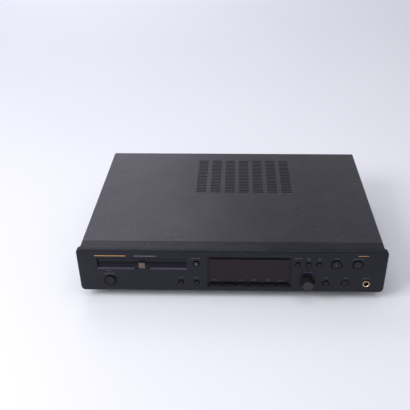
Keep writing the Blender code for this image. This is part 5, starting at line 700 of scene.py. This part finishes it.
# ================================================================ headphone socket
def make_phones_socket():
    """Plated ring with a rolled lip, and the black bush inside it."""
    _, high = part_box("headphone_socket")
    x, z, front, radius = round_front("headphone_socket", MILLI * 1.0)
    seat = FACE_Y - FLAT_GAP
    bore = radius * 0.74
    section = [(radius * 0.985, seat), (radius, front + MILLI * 0.6), (radius * 0.95, front + MILLI * 0.12),
               (radius * 0.88, front), (radius * 0.80, front + MILLI * 0.10), (bore, front + MILLI * 0.5),
               (bore, seat + MILLI * 3.0), (radius * 0.86, seat + MILLI * 3.0), (radius * 0.86, seat)]
    ring = tube_skin(turned(section, (x, 0, z)))
    make_piece("headphone_ring", [ring], FINISH["socket_gold"], "housing")
    hole = radius * 0.64
    section = [(bore - FLAT_GAP, front + MILLI * 0.8), (hole, front + MILLI * 1.3), (hole, high.y - MILLI * 3),
               (radius * 0.84, high.y - MILLI * 3), (radius * 0.84, seat + MILLI * 3.2),
               (bore - FLAT_GAP, seat + MILLI * 3.2)]
    bush = tube_skin(turned(section, (x, 0, z), around=AROUND_SMALL))
    make_piece("headphone_bush", [bush], BLACK_AND_PAINTED_SHADE, "housing", ("headphone_socket",))
    return x, z


PHONES_SOCKET = make_phones_socket()


# ================================================================ display and keys
finished_copy("display_window", "display_glass", FINISH["window_plastic"])
for index in range(1, 7):
    finished_copy(f"display_key_{index}", f"display_key_cap_{index}", KEY_FACE, MILLI * 0.12)


def paint_key_shades():
    """Painted shade: a black band over the top and down both ends of each bar key, where the gap round the key lies in
    shade.
    """
    for number in range(1, 7):
        low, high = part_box(f"display_key_{number}")
        tall = high.z - low.z
        side = MILLI * 0.7
        middle = (low.x + high.x) / 2
        inset = MILLI * 0.15
        bars = [(middle, high.z - tall * 0.25, high.x - low.x - inset * 2, tall * 0.44, 0.0)]
        bars += [(end, low.z + tall * 0.39, side, tall * 0.27, 0.0)
                 for end in (low.x + inset + side / 2, high.x - inset - side / 2)]
        make_piece(f"display_key_painted_shade_{number}", bar_skin(bars, low.y), PAINTED_SHADE_BLACK,
                   body_of(f"display_key_{number}"))


def paint_window_top_shade():
    """Painted shade: a black band along the top of the window glass, under the recess's top edge."""
    low, high = window_face()
    band = MILLI * 3.2
    place = ((low[0] + high[0]) / 2, high[1] - band / 2 - MILLI * 0.1, high[0] - low[0] - MILLI * 1.4, band, 0.0)
    make_piece("window_top_painted_shade", bar_skin([place], window_front()), PAINTED_SHADE_BLACK, "housing")


# ================================================================ marks on the panel
def level_of(share_mm):
    """Height of a mark that stands this many front-panel thousandths of the width above the panel's foot."""
    return FASCIA_FOOT + MILLI * share_mm


def bars_at(rows):
    """Places for bar_skin from (x, height above the panel's foot, width, height) in thousandths."""
    return [(x, level_of(rise), MILLI * width, MILLI * height, 0.0) for x, rise, width, height in rows]


CENTRE = {name: middle_of(name) for name, _, _ in CAPS}
X_OF = {name: place[0] for name, place in CENTRE.items()}
LABEL_ROWS = (
    (X_OF["open_button"] - MILLI * 0.5, 58.8, 13.0, 0.75), (X_OF["power_button"] - MILLI * 0.6, 36.6, 7.0, 0.6),
    (X_OF["power_button"] - MILLI * 0.6, 31.2, 16.0, 0.75), (X_OF["function_button_left"], 25.2, 8.0, 0.65),
    (X_OF["function_button_right"], 25.2, 7.6, 0.65), (X_OF["transport_button_1"], 60.3, 11.0, 0.8),
    (X_OF["transport_button_2"], 60.3, 4.6, 0.8), (X_OF["transport_button_3"], 60.3, 3.4, 0.8),
    (X_OF["large_button_left"], 60.6, 7.0, 0.75), (X_OF["large_button_right"], 60.0, 14.5, 0.75),
    (LEVEL_PLACE[0], 36.4, 12.0, 0.75), (X_OF["mode_button"], 26.4, 4.4, 0.7), (PHONES_PLACE[0], 26.2, 6.6, 0.7),
    (PHONES_SOCKET[0], 26.2, 10.4, 0.75),
)
make_piece("panel_label_bars", bar_skin(bars_at(LABEL_ROWS), FACE_Y), PRINT_DIM, "housing")
BRIGHT_ROWS = (
    (X_OF["transport_button_2"] + MILLI * 0.2, 57.4, 2.2, 0.9),
    (X_OF["transport_button_3"] + MILLI * 0.2, 57.4, 2.0, 0.8),
    (PHONES_PLACE[0] - MILLI * 4.6, 10.6, 0.8, 1.2), (PHONES_PLACE[0] + MILLI * 4.6, 10.6, 0.8, 1.2),
)
make_piece("panel_small_marks", bar_skin(bars_at(BRIGHT_ROWS), FACE_Y), PRINT_PALE, "housing")


TICKS = 11
TICK_SWEEP_DEG = 150
TICK_REACH = MILLI * 12.6


def make_level_ticks():
    """Eleven short ticks round the recess of the level knob, over 300 degrees."""
    x, z = LEVEL_PLACE
    angle = np.radians(np.linspace(-TICK_SWEEP_DEG, TICK_SWEEP_DEG, TICKS))
    places = [(x + TICK_REACH * math.sin(a), z + TICK_REACH * math.cos(a), MILLI * 0.35, MILLI * 1.1, -a)
              for a in angle]
    make_piece("level_ticks", bar_skin(places, FACE_Y), PRINT_DIM, "housing")


def make_cap_signs():
    """Plain signs on the caps: an eject sign, a dot, and two small squares."""
    triangle = [(-0.5, -0.1), (0.5, -0.1), (0.0, 0.5)]
    x, z, front, radius = round_front("open_button", CAP_REACH)
    surface = front + MILLI * 0.12
    size = radius * 0.62
    parts = [symbol_skin(triangle, x, z, size, surface)]
    parts += bar_skin([(x, z - size * 0.36, size, size * 0.2, 0.0)], surface)
    make_piece("open_cap_sign", parts, PRINT_PALE, "open_button")
    x, z, front, _ = round_front("large_button_left", CAP_REACH)
    dot = bar_skin([(x, z, MILLI * 1.3, MILLI * 1.3, 0.0)], front + CAP_SIGN_DEPTH)
    make_piece("large_cap_left_dot", dot, PRINT_PALE, "large_button_left")
    x, z, front, _ = round_front("large_button_right", CAP_REACH)
    pair = bar_skin([(x + side * MILLI * 1.9, z - MILLI * 0.4, MILLI * 1.3, MILLI * 0.9, 0.0) for side in (-1, 1)],
                    front + CAP_SIGN_DEPTH)
    make_piece("large_cap_right_marks", pair, PRINT_DIM, "large_button_right")


def make_window_marks():
    """Short bars at the foot of the window glass, above the keys."""
    low, high = window_face()
    width = high[0] - low[0]
    surface = window_front() - FLAT_GAP
    foot = low[1] + MILLI * 2.6
    places = [(low[0] + width * share, foot, MILLI * size, MILLI * 0.55, 0.0)
              for share, size in ((0.077, 7.0), (0.403, 6.4), (0.564, 5.0), (0.727, 6.4), (0.891, 8.0))]
    places += [(low[0] + width * share, foot + MILLI * 1.3, MILLI * size, MILLI * 0.5, 0.0)
               for share, size in ((0.564, 4.0), (0.727, 5.0))]
    make_piece("window_foot_marks", bar_skin(places, surface), PRINT_DIM, "housing")


def window_front():
    """Y of the window glass's face."""
    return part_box("display_window")[0].y


def window_face():
    """Lowest and highest (x, z) of the window glass's face."""
    points = node_points("display_window")
    face = points[points[:, 1] < window_front() + MERGE][:, [0, 2]]
    return face.min(0), face.max(0)


paint_key_shades()
paint_window_top_shade()
make_level_ticks()
make_cap_signs()
make_window_marks()


def make_strips():
    """Two plain gilt strips on the panel, and the bare plate on the tray's pad."""
    tray_low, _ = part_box("tray_front")
    left = tray_low.x + MILLI * 19
    strips = [(left, level_of(62.3), MILLI * 44, MILLI * 1.5, 0.0),
              (X_OF["large_button_right"] + MILLI * 6.5, level_of(65.0), MILLI * 14.5, MILLI * 1.1, 0.0)]
    make_piece("gilt_strips", bar_skin(strips, FACE_Y), GILT, "housing")
    pale = [(left + MILLI * 49, level_of(62.3), MILLI * 30, MILLI * 0.7, 0.0)]
    make_piece("panel_long_bar", bar_skin(pale, FACE_Y), PRINT_PALE, "housing")
    points = node_points("tray_front")
    pad = points[points[:, 1] < tray_low.y + MERGE]
    pad_low, pad_high = pad.min(0), pad.max(0)
    middle = (pad_low + pad_high) / 2
    levels = ((0, 0.0), (0, -MILLI * 0.10), (MILLI * 0.25, -MILLI * 0.22), (MILLI * 0.8, -MILLI * 0.24))
    rings = cushion_rings(pad_high[0] - pad_low[0] - MILLI * 0.4, pad_high[2] - pad_low[2] - MILLI * 0.4, MILLI * 0.8,
                          levels, (middle[0], tray_low.y - FLAT_GAP, middle[2]))
    make_piece("tray_pad_plate", [skin(rings)], PAD_METAL, "tray")


make_strips()


def swept_along_x(section, start, end, stations=2):
    """Rings of a section (y, z) carried along x from start to end."""
    section = np.asarray(section, float)
    across = np.linspace(start, end, stations)
    rings = np.repeat(np.column_stack([np.zeros(len(section)), section])[None], stations, axis=0)
    rings[:, :, 0] = across[:, None]
    return rings


def paint_slot_light_and_shade():
    """Painted highlight: a pale strip over the lit ledge along the lower edge of the tray's slot; painted shade: a dark
    band and a black top strip on the tray's face.
    """
    low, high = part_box("tray_front")
    points = node_points("tray_front")
    wing = points[points[:, 0] < low.x + MERGE]
    face, wing_foot = wing[:, 1].min(), wing[:, 2].min()
    pull = points[points[:, 2] < wing_foot - MERGE]
    pull_low, pull_high = pull[:, 0].min(), pull[:, 0].max()
    pad = points[points[:, 1] < low.y + MERGE]
    pad_low, pad_high = pad[:, 0].min(), pad[:, 0].max()
    floor = wing_foot - MILLI * 0.3 + FLAT_GAP
    front = FACE_Y - FLAT_GAP
    sheet = MILLI * 0.12
    bend = MILLI * 0.5
    drop = MILLI * 2.7
    # Painted highlight: an L-shaped pale strip over the ledge and the top of the face below the slot.
    outer = [(face - MILLI * 0.2, floor + sheet), (front - sheet, floor + sheet), (front - sheet, floor - drop)]
    inner = [(front, floor - drop), (front, floor), (face - MILLI * 0.2, floor)]
    section = np.vstack([eased(outer, bend), inner])
    clear = MILLI * 0.5
    ledge_highlights = [skin(swept_along_x(section, start, end))
            for start, end in ((low.x, pull_low - clear), (pull_high + clear, high.x))]
    make_piece("slot_ledge_highlight_strips", ledge_highlights, PAINTED_LEDGE_HIGHLIGHT, "housing")
    tall = high.z - wing_foot
    # Painted shade: a darker band over the lower part of the tray's face, left and right of the pad.
    rows = []
    for start, end in ((low.x + clear, pad_low - clear), (pad_high + clear, high.x - clear)):
        rows.append(((start + end) / 2, wing_foot + tall * 0.42, end - start, tall * 0.32, 0.0))
    make_piece("tray_face_shade_band", bar_skin(rows, face), PAINTED_TRAY_SHADE, "tray")
    # Painted shadow: a black strip along the top of the tray's face, under the slot's upper edge.
    top_shadow = [((low.x + high.x) / 2, high.z - tall * 0.065, high.x - low.x - clear, tall * 0.11, 0.0)]
    make_piece("tray_top_painted_shadow", bar_skin(top_shadow, face), PAINTED_SHADE_BLACK, "tray")


paint_slot_light_and_shade()


# ================================================================ screws
SIDE_SCREW_SHARES = (0.14, 0.52, 0.90)
SIDE_SCREW_RISE_SHARE = 0.40
REAR_SCREW_SHARES = ((0.03, 0.80), (0.30, 0.86), (0.62, 0.86), (0.97, 0.80), (0.035, 0.14), (0.27, 0.13),
                     (0.55, 0.13), (0.965, 0.14))
FLOOR_SCREW_SHARES = [(x, y) for x in (-0.93, -0.27, 0.27, 0.93) for y in (-0.80, 0.82)]


def set_on(local, centre, across, up, out):
    """Points (u, v, w) set into the frame: centre + u across + v up + w out."""
    basis = np.array([across, up, out], float)
    return local @ basis + np.asarray(centre, float)


def screw_skin(centre, across, up, out, radius, rise):
    """Pan head with a cross recess.

    The height over (r, a) is rise (1 - (r / R)^4), less a pit where the point is near either arm of the cross.
    """
    reach = np.array([0.18, 0.34, 0.46, 0.56, 0.72, 0.88, 1.0]) * radius
    angle = np.linspace(0, 2 * np.pi, 32, endpoint=False)
    r, a = np.meshgrid(reach, angle, indexing="ij")
    u, v = r * np.cos(a), r * np.sin(a)
    arm = np.minimum(np.abs(u), np.abs(v)) / radius
    pit = np.clip((0.15 - arm) / 0.06, 0, 1) * np.clip((0.62 - r / radius) / 0.1, 0, 1)
    height = rise * (0.35 + 0.65 * (1 - (r / radius) ** 4)) - rise * 0.75 * pit
    top = np.stack([u, v, height], -1)
    foot = np.stack([u[-1], v[-1], np.full(len(angle), 0.0)], -1)[None]
    rings = set_on(np.concatenate([top, foot]), centre, across, up, out)
    start = set_on(np.array([0, 0, rise * 0.25]), centre, across, up, out)
    return skin(rings, start=start)


def make_screws():
    """Screws on the cover's sides, on the rear panel, and below the chassis."""
    parts = []
    radius = MILLI * 3.4
    rise = MILLI * 1.5
    span = COVER_HIGH.y - COVER_LOW.y
    height = COVER_LOW.z + (COVER_HIGH.z - COVER_LOW.z) * SIDE_SCREW_RISE_SHARE
    for side, x in ((-1, COVER_LOW.x), (1, COVER_HIGH.x)):
        for share in SIDE_SCREW_SHARES:
            place = (x + side * FLAT_GAP, COVER_LOW.y + span * share, height)
            parts.append(screw_skin(place, (0, -side, 0), (0, 0, 1), (side, 0, 0), radius, rise))
    make_piece("cover_side_screws", parts, SCREW_BLACK, "housing")
    rear = rear_face()
    parts = []
    width = REAR_HIGH.x - REAR_LOW.x
    tall = REAR_HIGH.z - REAR_LOW.z
    for across, up in REAR_SCREW_SHARES:
        place = (REAR_LOW.x + width * across, rear + FLAT_GAP, REAR_LOW.z + tall * up)
        parts.append(screw_skin(place, (-1, 0, 0), (0, 0, 1), (0, 1, 0), MILLI * 2.9, MILLI * 1.3))
    make_piece("rear_screws", parts, SCREW_BLACK, "housing")
    parts = []
    for x, y in FLOOR_SCREW_SHARES:
        place = (x * CHASSIS_HIGH.x, y * CHASSIS_HIGH.y, CHASSIS_LOW.z - FLAT_GAP)
        parts.append(screw_skin(place, (1, 0, 0), (0, -1, 0), (0, 0, -1), MILLI * 2.7, MILLI * 1.1))
    make_piece("floor_screws", parts, SCREW_BLACK, "housing")


def rear_face():
    """Y of the rear panel's outer face."""
    points = node_points("rear_panel")
    values, counts = np.unique(np.round(points[:, 1], 5), return_counts=True)
    strong = values[counts > counts.max() * 0.25]
    return float(strong.max())


make_screws()


# ================================================================ rear sockets
def split_middles(values, gap):
    """Middles and half widths of the runs that sorted values form where neighbours lie further apart than gap."""
    values = np.unique(values)
    runs = np.split(values, np.nonzero(np.diff(values) > gap)[0] + 1)
    return [((run[0] + run[-1]) / 2, (run[-1] - run[0]) / 2) for run in runs]


def make_barrels(node, copy_name, colours):
    """Socket block with its barrels' ends sunk for coloured insulators, and plated jackets round the barrels."""
    _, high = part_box(node)
    points = node_points(node)
    tips = points[points[:, 1] > high.y - MERGE]
    block = finished_copy(node, copy_name, FINISH["button_plastic"])
    sink = MILLI * 0.6
    corners = np.zeros(len(block.data.vertices) * 3, np.float32)
    block.data.vertices.foreach_get("co", corners)
    corners = corners.reshape(-1, 3)
    corners[:, 1] = np.minimum(corners[:, 1], high.y - sink)
    block.data.vertices.foreach_set("co", corners.ravel())
    block.data.update()
    seat = rear_face()
    jackets = []
    insulators = {}
    index = 0
    for z, _ in reversed(split_middles(tips[:, 2], MILLI * 3)):
        for x, outer in split_middles(tips[:, 0], MILLI * 3):
            bore = np.hypot(tips[:, 0] - x, tips[:, 2] - z).min()
            jacket = outer + MILLI * 0.22
            gap = outer + FLAT_GAP
            section = [(gap, seat + MILLI * 0.6), (jacket + MILLI * 1.3, seat + MILLI * 0.6),
                       (jacket + MILLI * 1.3, seat + MILLI * 1.4), (jacket, seat + MILLI * 1.7),
                       (jacket, high.y - MILLI * 0.35), (gap, high.y - MILLI * 0.12)]
            jackets.append(tube_skin(turned(section, (x, 0, z), around=AROUND_SMALL)))
            floor = high.y - sink + FLAT_GAP
            top = high.y - MILLI * 0.05
            edge = outer * 0.97
            section = [(bore, floor), (edge, floor), (edge, top - MILLI * 0.1), (edge * 0.98, top), (bore * 1.1, top),
                       (bore, top - MILLI * 0.15)]
            ring = tube_skin(turned(section, (x, 0, z), around=AROUND_SMALL))
            insulators.setdefault(colours[index % len(colours)], []).append(ring)
            index += 1
    make_piece(f"{node}_jackets", jackets, FINISH["socket_gold"], "housing")
    for colour, parts in insulators.items():
        make_piece(f"{node}_{colour}_insulators", parts, INSULATORS[colour], "housing")


INSULATORS = {"white": INSULATOR_WHITE, "red": INSULATOR_RED, "amber": INSULATOR_AMBER}
finished_copy("mains_inlet", "mains_inlet_shell", FINISH["button_plastic"])
make_barrels("line_sockets", "line_socket_block", ("red", "white"))
make_barrels("digital_sockets", "digital_socket_block", ("amber",))


# ================================================================ feet
def make_foot(node):
    """Moulded cup with a ribbed flank and a rubber ring below it."""
    low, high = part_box(node)
    x, y = (low.x + high.x) / 2, (low.y + high.y) / 2
    radius = (high.x - low.x) / 2
    top = radius * 0.875
    sole = MILLI * 1.2
    profile = [(radius * 0.30, MILLI * 3.0), (radius * 0.34, sole * 1.6), (radius * 0.50, sole * 1.5),
               (radius * 0.94, sole * 1.25), (radius, sole * 2.2), (radius, sole * 4.2), (radius * 0.955, sole * 4.5),
               (radius * 0.955, sole * 5.0), (radius * 0.975, sole * 5.3), (top, high.z), (top * 0.5, high.z)]
    rings = turned(eased(profile, MILLI * 0.35, 3), (x, y, 0), "z")
    make_piece(f"{node}_cup", [skin(rings)], FINISH["fascia_plastic"], "housing", (node,))
    section = [(radius * 0.54, sole * 1.7), (radius * 0.56, 0.0), (radius * 0.80, 0.0), (radius * 0.84, sole * 0.3),
               (radius * 0.84, sole * 1.7)]
    ring = tube_skin(turned(section, (x, y, 0), "z"))
    make_piece(f"{node}_sole", [ring], FINISH["rubber"], "housing")


for corner in ("front_left", "front_right", "rear_left", "rear_right"):
    make_foot(f"foot_{corner}")


# ================================================================ inside
INSIDE_COPIES = (("loader_frame", "loader_moulded"), ("clamp_bridge", "clamp_bridge_sheet"),
                 ("traverse_frame", "traverse_moulded"), ("laser_sled", "laser_sled_cast"),
                 ("turntable", "turntable_turned"), ("clamp_puck", "clamp_puck_turned"),
                 ("spindle_motor", "spindle_motor_can"), ("loading_motor", "loading_motor_can"))
for node_name, copy_name in INSIDE_COPIES:
    finished_copy(node_name, copy_name, FINISH[SLOT_OF[node_name]])


def make_board_chips():
    """Black cases over the raised blocks of the main board: rounded rectangles with a bevelled top."""
    mesh = frame["nodes"]["main_board"].data
    corners = np.zeros(len(mesh.polygons) * 3, np.int32)
    mesh.polygons.foreach_get("vertices", corners)
    triangles = node_points("main_board")[corners.reshape(-1, 3)]
    low, high = triangles.min(1), triangles.max(1)
    level = (high[:, 2] - low[:, 2]) < MERGE
    board_top = np.unique(np.round(high[level][:, 2], 5))[1]
    raised = level & (low[:, 2] > board_top + MILLI * 0.5)
    parts = []
    for x0, y0, z, x1, y1, _ in np.unique(np.round(np.hstack([low, high])[raised], 6), axis=0):
        grow = FLAT_GAP * 4
        levels = ((0, board_top + grow), (0, z - MILLI * 0.3), (MILLI * 0.3, z + grow), (MILLI * 1.0, z + grow))
        rings = cushion_rings(x1 - x0 + grow, y1 - y0 + grow, MILLI * 0.5, levels, (0, 0, 0))
        parts.append(skin(rings[:, :, [0, 2, 1]] + np.array([(x0 + x1) / 2, (y0 + y1) / 2, 0])))
    make_piece("main_board_chips", parts, CHIP_BLACK, body_of("main_board"))


make_board_chips()


# ================================================================ stage, light and camera
SENSOR_WIDTH = 36.0
PICTURE_PIXELS = 410
FOCAL_PIXELS = 604.08
AXIS_PIXEL = 225
CAMERA_TURNS = (32.05, -1.26, -0.27)
CAMERA_PLACE = (0.0058, -0.8174, 0.5811)
ROOM_STRENGTH = 0.335
FLOOR_CELLS = 8
WHITE = (1.0, 1.0, 1.0)
LIGHTS = (
    ("key_softbox", (-1.4, -0.9, 1.2), (0.0, 0.0, 0.0), 1.1, 1.1, 25.0, WHITE),
    ("top_softbox", (0.1, -0.4, 1.9), (0.0, 0.0, 0.0), 1.6, 1.6, 12.0, WHITE),
    ("left_card", (-0.9, 1.9, 0.86), (-0.1, 0.1, 0.08), 1.5, 1.2, 4.6, (0.86, 0.84, 1.0)),
    ("back_card", (0.2, 2.2, 0.52), (0.0, 0.1, 0.08), 3.4, 0.7, 4.4, (0.95, 0.94, 1.0)),
    ("back_softbox", (-0.7, 1.5, 1.8), (-0.1, 0.9, 0.0), 1.3, 1.3, 7.5, WHITE),
)


def make_floor():
    """Pale studio floor: a wide sheet whose height is 0 everywhere, on a grid of x and y."""
    reach = FASCIA_SPAN * 14
    side = FLOOR_CELLS + 1
    line = np.linspace(-reach, reach, side)
    across, along = np.meshgrid(line, line)
    points = np.stack([across, along, np.zeros_like(across)], -1).reshape(-1, 3)
    row = np.arange(FLOOR_CELLS)[:, None] * side
    here = np.arange(FLOOR_CELLS)[None]
    quads = np.stack([row + here, row + here + 1, row + here + side + 1, row + here + side], -1).reshape(-1, 4)
    mesh = bpy.data.meshes.new("studio_floor")
    mesh.from_pydata(points.tolist(), [], quads.tolist())
    floor = bpy.data.objects.new("studio_floor", mesh)
    bpy.context.scene.collection.objects.link(floor)
    paper = bpy.data.materials.new("studio_paper")
    paper.use_nodes = True
    tree = paper.node_tree
    shader = tree.nodes["Principled BSDF"]
    place = node_in(tree, "ShaderNodeTexCoord").outputs["Object"]
    cloud = noise_in(tree, place, 3.0, 3.0, 0.5)
    tree.links.new(tone(tree, rgb(238, 238, 247), rgb(242, 242, 250), cloud), shader.inputs["Base Color"])
    tree.links.new(stepped(tree, cloud, 0.2, 0.8, 0.85, 0.95), shader.inputs["Roughness"])
    shader.inputs["Specular IOR Level"].default_value = 0.1
    below = node_in(tree, "ShaderNodeNewGeometry").outputs["Backfacing"]
    clear = tree.nodes.new("ShaderNodeBsdfTransparent")
    either = node_in(tree, "ShaderNodeMixShader", [(0, below), (1, shader.outputs[0]), (2, clear.outputs[0])])
    tree.links.new(either.outputs[0], tree.nodes["Material Output"].inputs["Surface"])
    mesh.materials.append(paper)


def add_area_light(name, place, aim, size, size_y, power, colour):
    """Soft rectangular light that looks at a point."""
    light = bpy.data.lights.new(name, "AREA")
    light.shape = "RECTANGLE"
    light.size = size
    light.size_y = size_y
    light.energy = power
    light.color = colour
    lamp = bpy.data.objects.new(name, light)
    lamp.location = place
    lamp.rotation_euler = (Vector(aim) - Vector(place)).to_track_quat("-Z", "Y").to_euler()
    bpy.context.scene.collection.objects.link(lamp)


def make_world():
    """Even pale surroundings."""
    world = bpy.data.worlds.new("studio_room")
    bpy.context.scene.world = world
    world.use_nodes = True
    tree = world.node_tree
    tree.nodes.clear()
    room = node_in(tree, "ShaderNodeBackground", [("Color", (0.93, 0.93, 1.0, 1.0)), ("Strength", ROOM_STRENGTH)])
    seen = node_in(tree, "ShaderNodeBackground", [("Color", (0.93, 0.93, 0.97, 1.0)), ("Strength", 1.0)])
    path = node_in(tree, "ShaderNodeLightPath")
    mix = node_in(tree, "ShaderNodeMixShader", [(0, path.outputs["Is Camera Ray"]), (1, room.outputs[0]),
                                                (2, seen.outputs[0])])
    end = tree.nodes.new("ShaderNodeOutputWorld")
    tree.links.new(mix.outputs[0], end.inputs["Surface"])


def make_camera():
    """Camera at the picture's angle: pitch, yaw and roll turn its three axes, which its matrix then holds."""
    pitch, yaw, roll = (math.radians(turn) for turn in CAMERA_TURNS)
    ahead = Vector((math.sin(yaw) * math.cos(pitch), math.cos(yaw) * math.cos(pitch), -math.sin(pitch)))
    right = Vector((math.cos(yaw), -math.sin(yaw), 0.0))
    up = right.cross(ahead)
    turned_right = right * math.cos(roll) + up * math.sin(roll)
    turned_up = up * math.cos(roll) - right * math.sin(roll)
    lens = bpy.data.cameras.new("photo_camera")
    lens.sensor_width = SENSOR_WIDTH
    lens.lens = FOCAL_PIXELS / PICTURE_PIXELS * SENSOR_WIDTH
    lens.shift_x = -(AXIS_PIXEL - PICTURE_PIXELS / 2) / PICTURE_PIXELS
    lens.clip_start = 0.01
    camera = bpy.data.objects.new("photo_camera", lens)
    matrix = Matrix((turned_right, turned_up, -ahead)).transposed().to_4x4()
    matrix.translation = CAMERA_PLACE
    camera.matrix_world = matrix
    bpy.context.scene.collection.objects.link(camera)
    bpy.context.scene.camera = camera


make_floor()
make_world()
for light in LIGHTS:
    add_area_light(*light)
make_camera()
bpy.context.scene.view_settings.view_transform = "Standard"
